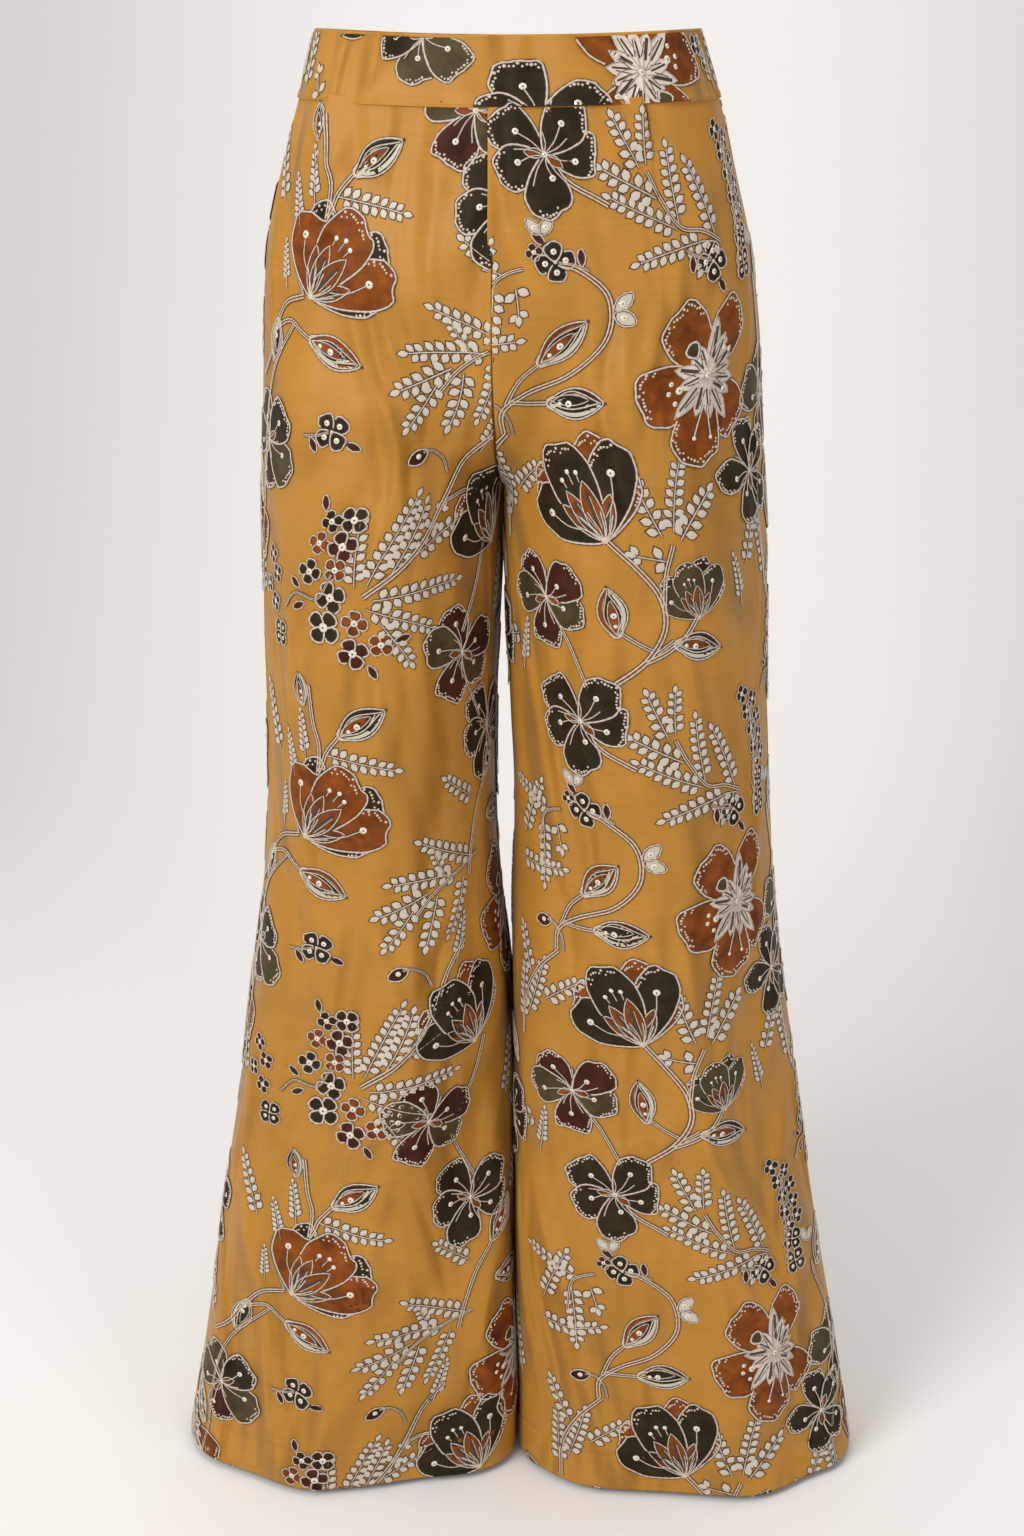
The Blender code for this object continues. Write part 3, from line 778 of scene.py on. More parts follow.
# Motifs are drawn flat, in millimetres, x to the right and y up, from the point where each is sewn on.
FINISHES = ("dark", "olive", "rust", "maroon", "star", "thread", "contour", "leaflet", "sequin", "stripe")
PRINTED = 5                # the first finishes are printed grounds, the others are stitched
MM = 0.001
GROUND = 0.40              # lifts above the cloth, in mm
STACK = 0.09               # each large shape of a motif lies this much above the one before
RING = 9.0                 # rings of a printed ground are at most this far apart
STITCH = 2.4               # length of a chain stitch
THREAD_WIDTH = 1.1
THREAD_HEIGHT = 0.5


class Shape(NamedTuple):
    """A filled outline with its thread and contour, and white bead teeth along a share of it."""
    rim: np.ndarray
    finish: str
    thread: float = THREAD_WIDTH
    teeth: tuple = ()


class Line(NamedTuple):
    path: np.ndarray
    width: float
    finish: str
    height: float


class Bead(NamedTuple):
    x: float
    y: float
    radius: float
    finish: str


class Design:
    """A motif: shapes that cover the ones before them, then lines, then beads."""

    def __init__(self):
        self.shapes, self.lines, self.beads = [], [], []

    def shape(self, rim, finish, thread=THREAD_WIDTH, teeth=()):
        self.shapes.append(Shape(np.array(rim), finish, thread, teeth))

    def line(self, path, width=1.0, finish="thread", height=0.4):
        self.lines.append(Line(np.array(path, float), width, finish, height))

    def bead(self, x, y, radius=1.0, finish="sequin"):
        self.beads.append(Bead(x, y, radius, finish))

    def knot(self, x, y, radius=1.5):
        """A small ring of thread with a dark eye."""
        self.bead(x, y, radius, "sequin")
        self.bead(x, y, radius * 0.35, "contour")

    def add(self, other, at=(0, 0), angle=0, scale=1.0):
        """Puts a copy of another motif on this one."""
        for shape in other.shapes:
            self.shape(turned(shape.rim, angle, at, scale), shape.finish, shape.thread * scale, shape.teeth)
        for line in other.lines:
            self.line(turned(line.path, angle, at, scale), line.width * scale, line.finish, line.height)
        for bead in other.beads:
            x, y = turned(np.array([[bead.x, bead.y]]), angle, at, scale)[0]
            self.bead(x, y, bead.radius * scale, bead.finish)


def turned(points, angle, at=(0, 0), scale=1.0):
    """Points turned anticlockwise by degrees, scaled and moved."""
    a = math.radians(angle)
    turn = np.array([[math.cos(a), math.sin(a)], [-math.sin(a), math.cos(a)]])
    return points @ turn * scale + np.array(at)


def curve(*points, steps=7):
    """A smooth path through a few points."""
    points = np.array(points, float)
    padded = np.concatenate([[2 * points[0] - points[1]], points, [2 * points[-1] - points[-2]]])
    path = []
    for a, b, c, d in zip(padded, padded[1:], padded[2:], padded[3:]):
        for t in np.arange(steps) / steps:
            path.append(b + (c - a) / 2 * t + (a - 2.5 * b + 2 * c - d / 2) * t * t
                        + (1.5 * (b - c) + (d - a) / 2) * t ** 3)
    return np.array(path + [points[-1]])


def lens(length, width, bulge=0.9, count=12):
    """A pointed oval standing on the origin."""
    t = np.linspace(0, 1, count)
    half = width / 2 * np.sin(math.pi * t) ** bulge
    right = np.stack([half, length * t], axis=-1)
    return np.concatenate([right, right[::-1][1:-1] * (-1, 1)])


def petal(length, width, seed, wave=0.05, point=0.0, count=28):
    """A rounded, wavy petal that narrows to the origin."""
    around = np.linspace(0, 2 * math.pi, count, endpoint=False)
    t = (1 - np.cos(around)) / 2
    x = width / 2 * 1.25 * np.sin(around) * (0.28 + 0.72 * t ** 0.8)
    y = length * t
    waves = (np.sin(3 * around + seed * 2.1) + 0.8 * np.sin(5 * around + seed * 3.7)
             + 0.55 * np.sin(9 * around + seed * 1.3))
    grow = 1 + wave * waves * smooth(t * 1.6 - 0.25) + point * np.maximum(0, np.cos(around - math.pi)) ** 12
    return np.stack([x * grow, y * (1 + (grow - 1) * 0.8)], axis=-1)


def inside(points, rim):
    """Which points lie within an outline."""
    x, y = points[:, 0, None], points[:, 1, None]
    x0, y0 = rim[:, 0], rim[:, 1]
    x1, y1 = np.roll(x0, -1), np.roll(y0, -1)
    crosses = (y0 > y) != (y1 > y)
    with np.errstate(divide="ignore", invalid="ignore"):
        reach = x0 + (y - y0) / (y1 - y0) * (x1 - x0)
    return np.sum(crosses & (x < reach), axis=1) % 2 == 1


def evenly(path, step):
    """The path with points a step apart."""
    lengths = np.concatenate([[0], np.cumsum(np.linalg.norm(np.diff(path, axis=0), axis=1))])
    count = max(2, round(lengths[-1] / step) + 1)
    spots = np.linspace(0, lengths[-1], count)
    return np.stack([np.interp(spots, lengths, path[:, i]) for i in (0, 1)], axis=-1)


def bare_runs(path, covers):
    """The stretches of a path that no later shape covers."""
    hidden = np.zeros(len(path), bool)
    for rim in covers:
        hidden |= inside(path, rim)
    runs, run = [], []
    for point, covered in zip(path, hidden):
        if covered:
            if len(run) > 1:
                runs.append(np.array(run))
            run = []
        else:
            run.append(point)
    if len(run) > 1:
        runs.append(np.array(run))
    return runs


def add_grid(bm, points, finish):
    """Adds a sheet through a grid of points to a motif's mesh."""
    rows, columns = points.shape[:2]
    made = bmesh.ops.create_grid(bm, x_segments=columns - 1, y_segments=rows - 1, size=0.5)["verts"]
    for vert in made:
        vert.co = points[round((vert.co.y + 0.5) * (rows - 1)), round((vert.co.x + 0.5) * (columns - 1))]
    for face in {face for vert in made for face in vert.link_faces}:
        face.material_index = FINISHES.index(finish)


def add_ribbon(bm, path, width, lift, finish, height=0.0):
    """Adds a line along a path: flat, or raised in chain stitches."""
    along = np.gradient(path, axis=0)
    along /= np.maximum(np.linalg.norm(along, axis=1, keepdims=True), 1e-9)
    aside = np.stack([-along[:, 1], along[:, 0]], axis=-1)
    link = np.where(np.arange(len(path)) % 2, 1.0, 0.72 if height else 1.0)
    rows = [(-0.5, 0.0), (0.0, height), (0.5, 0.0)] if height else [(-0.5, 0.0), (0.5, 0.0)]
    grid = [np.concatenate([path + aside * (width * share * link)[:, None], (lift + rise * link)[:, None]], axis=1)
            for share, rise in rows]
    add_grid(bm, np.array(grid), finish)


def add_ground(bm, rim, lift, finish):
    """Adds a flat filled outline."""
    closed = np.concatenate([rim, rim[:1]])
    middle = rim.mean(axis=0)
    count = max(1, math.ceil(np.linalg.norm(rim - middle, axis=1).max() / RING))
    rings = np.linspace(0.0, 1.0, count + 1)
    grid = [np.concatenate([middle + (closed - middle) * ring, np.full((len(closed), 1), lift)], axis=1)
            for ring in rings]
    add_grid(bm, np.array(grid), finish)


def add_dome(bm, x, y, radius, lift, height, finish, sides=7):
    """Adds a bead."""
    made = bmesh.ops.create_cone(bm, cap_ends=True, segments=sides, radius1=radius, radius2=radius * 0.55,
                                 depth=height, matrix=Matrix.Translation((x, y, lift + height / 2)))["verts"]
    faces = {face for vert in made for face in vert.link_faces}
    for face in faces:
        face.material_index = FINISHES.index(finish)
    bmesh.ops.delete(bm, geom=[face for face in faces if face.normal.z < -0.5], context="FACES_ONLY")


def add_leaflet(bm, x, y, angle, length, width):
    """Adds a small puffed leaf in its dark contour."""
    rim = lens(length, width, bulge=0.62, count=4)
    closed = turned(np.concatenate([rim, rim[:1]]), angle, (x, y))
    middle = closed[:-1].mean(axis=0)

    def ring(share, lift):
        return np.concatenate([middle + (closed - middle) * share, np.full((len(closed), 1), lift)], axis=1)

    add_grid(bm, np.array([ring(0.95, 0.32), ring(1.24, 0.16)]), "contour")
    add_grid(bm, np.array([ring(0.0, 0.46), ring(0.55, 0.58)]), "leaflet")
    add_grid(bm, np.array([ring(0.55, 0.58), ring(1.0, 0.28)]), "thread")


def stack_up(shapes):
    """How high each shape lies, above the ones that it overlaps."""
    lifts = []
    for shape in shapes:
        low, high = shape.rim.min(axis=0), shape.rim.max(axis=0)
        under = [lift for other, lift in zip(shapes, lifts)
                 if np.all(other.rim.min(axis=0) < high) and np.all(other.rim.max(axis=0) > low)]
        lifts.append(max(under, default=GROUND) + (STACK if shape.thread > 1.0 else STACK * 0.35))
    return lifts


def top_under(points, shapes, lifts):
    """How high a line or bead at these points lies."""
    return max((lift for shape, lift in zip(shapes, lifts) if inside(points, shape.rim).any()), default=GROUND) + 0.08


def motif_mesh(name, design, leaflets=()):
    """A design as a mesh, in metres."""
    bm = bmesh.new()
    lifts = stack_up(design.shapes)
    for i, (shape, lift) in enumerate(zip(design.shapes, lifts)):
        covers = [later.rim for later in design.shapes[i + 1:]]
        add_ground(bm, shape.rim, lift, shape.finish)
        if shape.thread:
            outline = np.concatenate([shape.rim, shape.rim[:2]])
            for run in bare_runs(evenly(outline, STITCH * 2), covers):
                add_ribbon(bm, run, shape.thread + min(0.9, shape.thread * 0.8), lift + 0.03, "contour")
            for run in bare_runs(evenly(outline, STITCH), covers):
                add_ribbon(bm, run, shape.thread, lift + 0.06, "thread", THREAD_HEIGHT)
        if shape.teeth:
            start, end = shape.teeth
            outline = evenly(shape.rim, STITCH * 1.1)
            middle = shape.rim.mean(axis=0)
            for k, point in enumerate(outline):
                if start < k / len(outline) < end:
                    inner = middle + (point - middle) * (0.92 - 0.045 * (k % 2) - 0.03 * ((k * 7) % 3))
                    if not any(inside(inner[None], rim)[0] for rim in covers):
                        add_dome(bm, *inner, 0.85 + 0.25 * (k % 3 == 0), lift + 0.05, 0.45, "thread", sides=5)
    for line in design.lines:
        top = top_under(line.path, design.shapes, lifts)
        if line.finish == "thread":
            add_ribbon(bm, evenly(line.path, STITCH * 2), line.width + 0.8, top, "contour")
        add_ribbon(bm, evenly(line.path, STITCH), line.width, top + 0.04, line.finish, line.height)
    for leaflet in leaflets:
        add_leaflet(bm, *leaflet)
    for bead in design.beads:
        top = top_under(np.array([[bead.x, bead.y]]), design.shapes, lifts)
        seat = 0.3 if bead.finish == "contour" else 0.1
        add_dome(bm, bead.x, bead.y, bead.radius, top + seat, 0.55, bead.finish)
    bmesh.ops.remove_doubles(bm, verts=bm.verts, dist=0.0005)
    bmesh.ops.dissolve_degenerate(bm, edges=bm.edges, dist=0.0005)
    for face in bm.faces:
        face.smooth = True
    bmesh.ops.reverse_faces(bm, faces=[face for face in bm.faces if face.normal.z < 0])
    bmesh.ops.scale(bm, vec=(MM, MM, MM), verts=bm.verts)
    mesh = bpy.data.meshes.new(name)
    bm.to_mesh(mesh)
    bm.free()
    return mesh


# Each motif below returns its design, and the ferns their leaflets too.


def stalk(design, path, width=2.6):
    """A stem: two rows of chain stitch with a rust core between them, in a dark contour."""
    path = evenly(np.array(path, float), STITCH)
    along = np.gradient(path, axis=0)
    along /= np.maximum(np.linalg.norm(along, axis=1, keepdims=True), 1e-9)
    aside = np.stack([-along[:, 1], along[:, 0]], axis=-1)
    design.line(path, width + 1.0, "contour", 0.0)
    design.line(path, width * 0.5, "rust", 0.15)
    for sign in (-1, 1):
        design.line(path + aside * sign * width * 0.31, width * 0.36, "stripe" if sign > 0 else "thread", 0.4)


def grand_flower():
    """The large rust flower with a striped star in its middle."""
    design = Design()
    for angle, length, width, teeth in ((-28, 50, 32, (0.30, 0.6)), (36, 50, 37, (0.3, 0.75)),
                                        (-137, 45, 34, (0.25, 0.6)), (111, 50, 40, (0.3, 0.6)),
                                        (171, 57, 36, (0.25, 0.7))):
        design.shape(turned(petal(length, width, angle, 0.04), angle), "rust", 1.3, teeth)
    rays = ((-6, 36), (27, 21), (52, 19), (80, 26), (108, 22), (139, 34), (163, 26), (188, 27), (212, 33), (238, 23),
            (264, 22), (291, 20), (314, 24), (336, 28))
    for angle, long in rays:
        design.shape(turned(lens(long, 9.6, 0.8, 7), angle), "star", 0.3)
    for i, (angle, long) in enumerate(rays):
        streak = turned(np.array([(1.1, long * 0.30), (0.5, long * 0.82)]), angle)
        design.line(streak, 1.2 if i % 3 else 2.2, "contour", 0.0)
        design.line(turned(np.array([(-1.7, long * 0.34), (-1.0, long * 0.72)]), angle), 0.6, "contour", 0.0)
    for x, y in ((-26, -4), (-27, -10), (-22, -16), (13, 20), (11, 16), (16, 15), (14, -9)):
        design.knot(x, y, 1.7)
    design.knot(-20, -8, 2.6)
    design.shape(turned(petal(11, 11, 3, 0.02, count=14), 40, (-10, 11)), "olive", 1.6)
    for x in (-1.6, 1.6):
        design.line(curve((x, -18), (x * 2.2 - 1, -26), (x * 4 - 2, -37)), 1.2)
        design.bead(x * 4 - 2, -38, 1.5)
    design.knot(0, 0, 2.2)
    return design


def open_flower(finishes, seed, slim=1.0):
    """A flower seen from the front, with rounded petals, rays and knots."""
    design = Design()
    for i, finish in enumerate(finishes):
        angle = i * 360 / len(finishes) + 12 * math.sin(seed + i * 2.3)
        length = 35 + 3 * math.sin(seed * 1.7 + i * 2.9)
        design.shape(turned(petal(length, 30 * slim, seed + i, 0.045), angle), finish, 1.2,
                     (0.30, 0.72) if (i + seed) % 3 else (0.42, 0.6))
    for angle in (40 * seed, 40 * seed + 150):
        design.shape(turned(lens(13, 6, 0.8, 7), angle), "rust", 0.8)
    for i in range(10):
        angle = i * 36 + 9 * math.sin(seed + i * 1.9)
        reach = 12 + 9 * abs(math.sin(seed + i * 1.3))
        design.line(turned(curve((0, 1.5), (1.2, reach / 2), (0, reach)), angle), 0.75)
        if i % 2 == 0:
            design.knot(*turned(np.array([[0, reach + 1.6]]), angle)[0], 2.1)
    design.knot(0, 0, 1.8)
    return design


def poppy(front, behind, seed, scale=1.0):
    """A flower seen from the side: petals behind and in front, a striped calyx, and stamens with sequins."""
    design = Design()
    for angle, length, width in ((50, 60, 30), (2, 67, 34), (-30, 50, 20)):
        design.shape(turned(petal(length, width, seed + angle, 0.035), angle), behind, 1.2, (0.3, 0.7))
    for angle, length, width, teeth in ((63, 52, 36, ()), (-15, 64, 33, (0.5, 0.7)), (24, 64, 39, (0.42, 0.62))):
        design.shape(turned(petal(length, width, seed * 2 + angle, 0.035), angle), front, 1.2, teeth)
    for angle, length, width in ((52, 33, 9), (36, 36, 11), (-17, 32, 10), (12, 38, 13)):
        design.shape(turned(lens(length, width, 0.8, 10), angle), "rust", 0.9)
    for angle, reach in ((52, 26), (36, 28), (-17, 26), (12, 30)):
        design.line(turned(np.array([(0, 8), (0.4, reach)]), angle), 2.2, "contour", 0.0)
        design.line(turned(np.array([(1.9, 8), (1.6, reach - 2)]), angle), 0.6, "stripe", 0.2)
    for angle, bend, reach in ((69, -2, 38), (-15, 3, 45)):
        path = turned(curve((0, 16), (bend, reach / 2 + 6), (0, reach)), angle)
        design.line(path, 0.8)
        design.knot(*path[-1], 2.6)
    for angle, reach in ((33, 41), (24, 44), (16, 42)):
        design.line(turned(np.array([(0, 37), (0, reach)]), angle), 0.7)
        design.bead(*turned(np.array([[0, reach + 1.5]]), angle)[0], 1.7)
    for angle in (66, 44, 24, -3, -26):
        design.line(turned(curve((0, 0), (1.2, 8), (0, 19)), angle), 0.9)
    design.bead(0, 0.5, 2.2, "thread")
    final = Design()
    final.add(design, scale=scale)
    return final


def bud(outer, core, seed=0):
    """A pointed bud with cream bands round its core."""
    design = Design()
    design.shape(lens(38, 20, 0.85, 14), outer, 1.1)
    design.shape(lens(35, 15, 0.85, 10) + (1.0, 1.2), "stripe", 0)
    design.shape(lens(33, 11, 0.85, 10) + (0.4, 1.6), "dark", 0)
    design.shape(lens(26, 7.0, 0.8, 9) + (-1.2 + seed, 2.6), core, 0.7)
    design.line(curve((0, 2), (-7.0 + seed, 17), (0, 36)), 0.8)
    design.line(curve((0, 2), (4.6 + seed, 17), (0, 34)), 1.0, "stripe", 0.2)
    design.knot(0.3, 16 + seed, 2.3)
    design.bead(0.2, 9, 1.5)
    design.bead(0, 38.5, 1.0, "contour")
    for sign in (-1, 1):
        design.line(curve((0, 0), (sign * 3.2, 1.5), (sign * 4.6, 5.5)), 1.2)
    return design


def frond(length, bend, pairs):
    """A fern frond: a fine stem with pairs of leaflets that get smaller towards its tip."""
    design = Design()
    path = curve((0, 0), (bend * 0.25, length * 0.35), (bend * 0.6, length * 0.7), (bend, length), steps=4)
    design.line(path, 0.8)
    leaves = []
    for i in range(pairs):
        share = 0.10 + 0.80 * i / (pairs - 1)
        k = share * (len(path) - 1)
        spot = path[int(k)] + (path[min(int(k) + 1, len(path) - 1)] - path[int(k)]) * (k % 1)
        heading = path[min(int(k) + 1, len(path) - 1)] - path[max(int(k) - 1, 0)]
        lean = math.degrees(math.atan2(-heading[0], heading[1]))
        size = 1.0 - 0.26 * share ** 2
        for sign in (-1, 1):
            aside = turned(np.array([[sign * 0.7, sign * 0.8]]), lean, spot)[0]
            spread = 60 - 16 * share + 5 * math.sin(i * 2.2)
            leaves.append((*aside, lean - sign * spread, 7.6 * size, 5.2 * size))
    leaves.append((*path[-1], lean, 7.0, 4.0))
    return design, leaves


def blossom(finish="dark"):
    """A very small flower."""
    design = Design()
    for i in range(4):
        design.shape(turned(petal(7.0, 7.0, i, 0.03, count=10), i * 90 + 15), finish, 0.8)
    design.knot(0, 0, 1.9)
    return design


def small_flower(finishes=("dark",) * 4):
    """A small flower with a knot on each petal."""
    design = Design()
    for i, finish in enumerate(finishes):
        angle = i * 360 / len(finishes) + 24
        design.shape(turned(petal(12.5, 12.5, i, 0.04, count=16), angle), finish, 1.0)
    for i in range(len(finishes)):
        design.knot(*turned(np.array([[0, 6.4]]), i * 360 / len(finishes) + 24)[0], 2.0)
    design.bead(0, 0, 1.3, "thread")
    return design


def sprig():
    """A small flower on a short stem with two pointed leaves."""
    design = Design()
    stalk(design, curve((0, -22), (1, -12), (0, -2)), 1.6)
    for at, angle in (((1, -17), -70), ((8, 8), -32)):
        design.shape(turned(lens(12, 5.4, 0.8, 8), angle, at), "maroon", 0.9)
    design.add(small_flower())
    return design


def cluster():
    """A cone of small flowers, dark, rust and maroon, with pointed leaves."""
    design = Design()
    stalk(design, curve((-44, -16), (-32, -4), (-14, -6), (-4, 12)), 1.6)
    for at, angle in (((-14, 53), 12), ((-28, 0), 60), ((-24, -10), 115), ((22, -48), -150), ((38, -32), -70)):
        design.shape(turned(lens(12, 5.4, 0.8, 8), angle, at), "maroon", 0.9)
    spots = [(-9, 47, 1.1), (6, 49, 1.35), (-16, 32, 1.15), (1, 31, 1.5), (-2, 15, 1.2), (-21, 12, 1.3),
             (-4, -4, 1.6), (-9, -25, 1.8), (13, -20, 1.3), (12, -41, 1.55), (30, -34, 1.2)]
    for i, (x, y, size) in enumerate(spots):
        design.add(blossom(("dark", "dark", "rust", "maroon", "rust", "dark")[i % 6]), (x, y), i * 31, size)
    return design


def curl():
    """A young bud curled over on its stem."""
    design = Design()
    stalk(design, curve((0, 0), (-2, 10), (-9, 18), (-16, 19)), 1.5)
    design.shape(turned(lens(16, 9.4, 0.7, 9), 105, (-12, 19)), "maroon", 1.0)
    design.bead(-19.5, 17.5, 1.9)
    return design


def leaf_pair():
    """Two pale leaves with a ring in each."""
    design = Design()
    for angle in (28, -44):
        design.shape(turned(lens(17, 9.4, 0.75, 9), angle), "stripe", 0.9)
        design.knot(*turned(np.array([[0, 7.5]]), angle)[0], 2.2)
    return design


def spike(count=6):
    """A short spike of seeds."""
    design = Design()
    design.line(curve((0, -8), (0.6, 8), (0, count * 5)), 0.8)
    leaves = [(sign * 0.7, i * 4.4 + sign, -sign * (44 - 4 * i), 6.6 - 0.4 * i, 3.9 - 0.2 * i)
              for i in range(count) for sign in (-1, 1)]
    return design, leaves + [(0, count * 4.4, 0, 5.0, 2.8)]


def make_motifs():
    """Every motif's mesh, by its name."""
    designs = {
        "grand": grand_flower(),
        "flower_dark": open_flower(("dark",) * 5, 1),
        "flower_slim": open_flower(("dark",) * 5, 4, 0.8),
        "flower_maroon": open_flower(("maroon", "olive", "maroon", "olive", "maroon"), 2),
        "flower_olive": open_flower(("olive", "olive", "maroon", "olive", "dark"), 3),
        "poppy": poppy("dark", "rust", 1),
        "poppy_rust": poppy("rust", "dark", 2),
        "poppy_small": poppy("olive", "dark", 3, 0.6),
        "bud": bud("dark", "rust"),
        "bud_rust": bud("rust", "rust", 1),
        "bud_maroon": bud("maroon", "dark", -1),
        "blossom": blossom(),
        "blossom_maroon": blossom("maroon"),
        "small": small_flower(),
        "small_olive": small_flower(("olive", "dark", "olive", "maroon")),
        "sprig": sprig(),
        "cluster": cluster(),
        "curl": curl(),
        "leaves": leaf_pair(),
    }
    for name, paths in (("stalks_a", STALKS_A), ("stalks_b", STALKS_B)):
        designs[name] = Design()
        for path, width in paths:
            stalk(designs[name], path, width * 1.15)
    meshes = {name: motif_mesh(f"motif_{name}", design) for name, design in designs.items()}
    for name, (length, bend, pairs) in {"frond": (46, 6, 7), "frond_left": (45, -7, 7), "frond_long": (60, 9, 9),
                                        "frond_short": (32, 3, 5), "leaflets": (15, 1, 2)}.items():
        meshes[name] = motif_mesh(f"motif_{name}", *frond(length, bend, pairs))
    meshes["spike"] = motif_mesh("motif_spike", *spike())
    return meshes


# ---------------------------------------------------------------- the print's layout


class Place(NamedTuple):
    """Where a motif is sewn on the flat cut, in mm: x to the right, y down, turned anticlockwise by degrees."""
    motif: str
    x: float
    y: float
    turn: float = 0.0
    scale: float = 1.0


REPEAT = 363.0             # the print repeats down the cloth, in mm
LEAN = 0.014               # and moves this much outwards on its way down

TILE_A = [
    Place("stalks_a", 0, 0),
    Place("grand", 66, 207), Place("flower_slim", 108, 272, 20), Place("flower_dark", -42, 70, 42),
    Place("poppy", -9, 308, 0), Place("poppy_small", 44, 362, -12), Place("flower_maroon", -62, 352, 30, 0.95),
    Place("bud_rust", -46, 198, -44), Place("bud_maroon", -38, 223, -88), Place("bud_rust", -10, 372, 8, 0.9),
    Place("bud", 26, 378, -100, 0.95), Place("leaves", -4, 166, -70), Place("sprig", -42, 134, 75),
    Place("leaves", -50, 118, 10, 0.8), Place("blossom_maroon", -55, 128, 0, 0.8), Place("curl", -62, 244, -6),
    Place("frond", 38, 117, 72), Place("frond_left", 58, 125, 95, 1.05), Place("frond_short", 25, 98, 66, 1.15),
    Place("frond_short", 15, 80, 28), Place("frond_short", 20, 78, 4, 0.9), Place("frond", 40, 113, 14, 0.95),
    Place("frond_left", 66, 121, 14, 1.0), Place("leaflets", 66, 126, 150, 1.2),
    Place("frond_left", -74, 142, 62, 0.9), Place("frond", -80, 150, -172), Place("leaflets", -66, 150, -165, 1.1),
    Place("frond_short", 26, 306, 22, 1.1), Place("frond", 34, 304, -8, 1.0), Place("frond_short", 38, 309, -36, 1.2),
    Place("leaflets", 25, 322, 80, 1.2), Place("sprig", 64, 138, -110), Place("frond_short", -92, 268, 30),
    Place("blossom", 80, 60), Place("blossom", 85, 73, 30), Place("blossom_maroon", 93, 66, 12), Place("blossom", 90, 86),
    Place("blossom", 99, 80, 50), Place("blossom_maroon", 92, 99, 20), Place("blossom", 101, 94, 10),
    Place("blossom", 95, 111, 40), Place("blossom_maroon", 104, 107, 5), Place("small", 97, 124, 10, 0.8),
    Place("small_olive", 98, 142, 30, 0.85), Place("leaves", 112, 132, -10, 0.8),
    Place("frond", -104, 166, -20), Place("frond_left", -108, 186, -95), Place("frond_left", -96, 300, -30),
    Place("frond", -104, 310, 4), Place("frond_short", -96, 384, 110), Place("spike", -90, 400, -10),
    Place("frond_short", -78, 284, -50),
    Place("frond_left", 122, 346, 6), Place("frond", 126, 360, -40), Place("flower_olive", 138, 226, 15),
    Place("cluster", 150, 410, 4, 0.85), Place("poppy_rust", 150, 318, -60, 0.9), Place("bud", 126, 158, -20),
    Place("frond_long", -140, 250, 20), Place("flower_dark", -138, 395, 40), Place("bud_rust", -118, 350, 35),
    Place("spike", 84, 352, 12), Place("frond_short", 92, 332, -20),
]
STALKS_A = [
    (curve((-68, -244), (-66, -228), (-50, -216), (-24, -204), (-6, -182), (-8, -156), (-26, -140), (-40, -135)), 2.8),
    (curve((-64, -224), (-56, -208), (-46, -198)), 2.4),
    (curve((-62, -222), (-50, -223), (-38, -223)), 2.4),
    (curve((-8, -308), (6, -326), (18, -346), (20, -368), (8, -388), (-12, -404)), 3.2),
    (curve((44, -360), (34, -374), (20, -384), (6, -390)), 2.8),
    (curve((32, -312), (24, -330), (21, -346), (20, -358)), 2.4),
    (curve((-9, -368), (2, -376), (12, -382)), 2.2),
    (curve((26, -376), (20, -380), (14, -384)), 2.2),
    (curve((-42, -70), (-30, -86), (-14, -96), (-6, -101)), 2.8),
    (curve((72, -126), (56, -119), (41, -116), (28, -98), (20, -82)), 2.2),
    (curve((-62, -138), (-72, -141), (-80, -148), (-84, -170)), 1.8),
    (curve((-66, -244), (-84, -262), (-100, -290), (-104, -320)), 2.6),
    (curve((90, -150), (92, -110), (88, -70)), 1.4),
    (curve((-60, -357), (-44, -380), (-30, -410)), 2.2),
    (curve((118, -150), (124, -175), (132, -205), (128, -250), (118, -300), (124, -350)), 2.4),
]

TILE_B = [
    Place("stalks_b", 0, 0),
    Place("poppy_rust", -45, 160, -62), Place("flower_olive", -100, 254, 25), Place("cluster", -20, 346),
    Place("bud", -18, 84, -55), Place("bud_rust", -49, 186, -113), Place("bud_maroon", -80, 176, 160, 0.8),
    Place("bud", -47, 66, 10, 0.62), Place("sprig", -36, 242, -80), Place("curl", 44, 270, 14),
    Place("frond", -27, 98, -92), Place("spike", -46, 98, 8), Place("spike", -58, 112, 14, 0.9),
    Place("frond_left", -76, 104, 16), Place("spike", -68, 150, 2, 0.8),
    Place("frond", 84, 183, 74, 1.05), Place("frond_left", 68, 191, 82, 1.1), Place("frond_short", 43, 201, 118, 1.15),
    Place("frond_short", 50, 204, 170, 1.1), Place("frond", 74, 195, 166, 0.9), Place("frond_short", 86, 140, 60),
    Place("frond_short", 32, 212, 150), Place("frond_short", 60, 196, 32, 0.8),
    Place("frond", -8, 342, 10), Place("frond_long", 0, 340, -14), Place("frond_left", 14, 332, -30),
    Place("frond", 26, 322, -52), Place("frond_long", 4, 350, -74), Place("frond", 0, 356, -102), Place("leaflets", 36, 306, -30),
    Place("frond_short", 10, 366, -140), Place("blossom", -86, 330), Place("blossom_maroon", -78, 342, 20),
    Place("blossom", -92, 352, 40), Place("blossom", -80, 362, 10), Place("small", -72, 382, 20, 0.8),
    Place("frond", -108, 364, 14), Place("frond_left", -120, 205, 30), Place("bud_maroon", -118, 300, 30),
    Place("bud_rust", 104, 130, -30), Place("bud", 108, 160, -95), Place("grand", 140, 232), Place("grand", -142, 312, 30),
    Place("frond_left", 120, 380, -20), Place("frond", 126, 392, -60), Place("sprig", -136, 180, 30),
    Place("frond", -132, 400, 50), Place("flower_slim", -140, 118, 5), Place("frond_short", 132, 100, -10),
    Place("spike", 66, 250, -14),
]
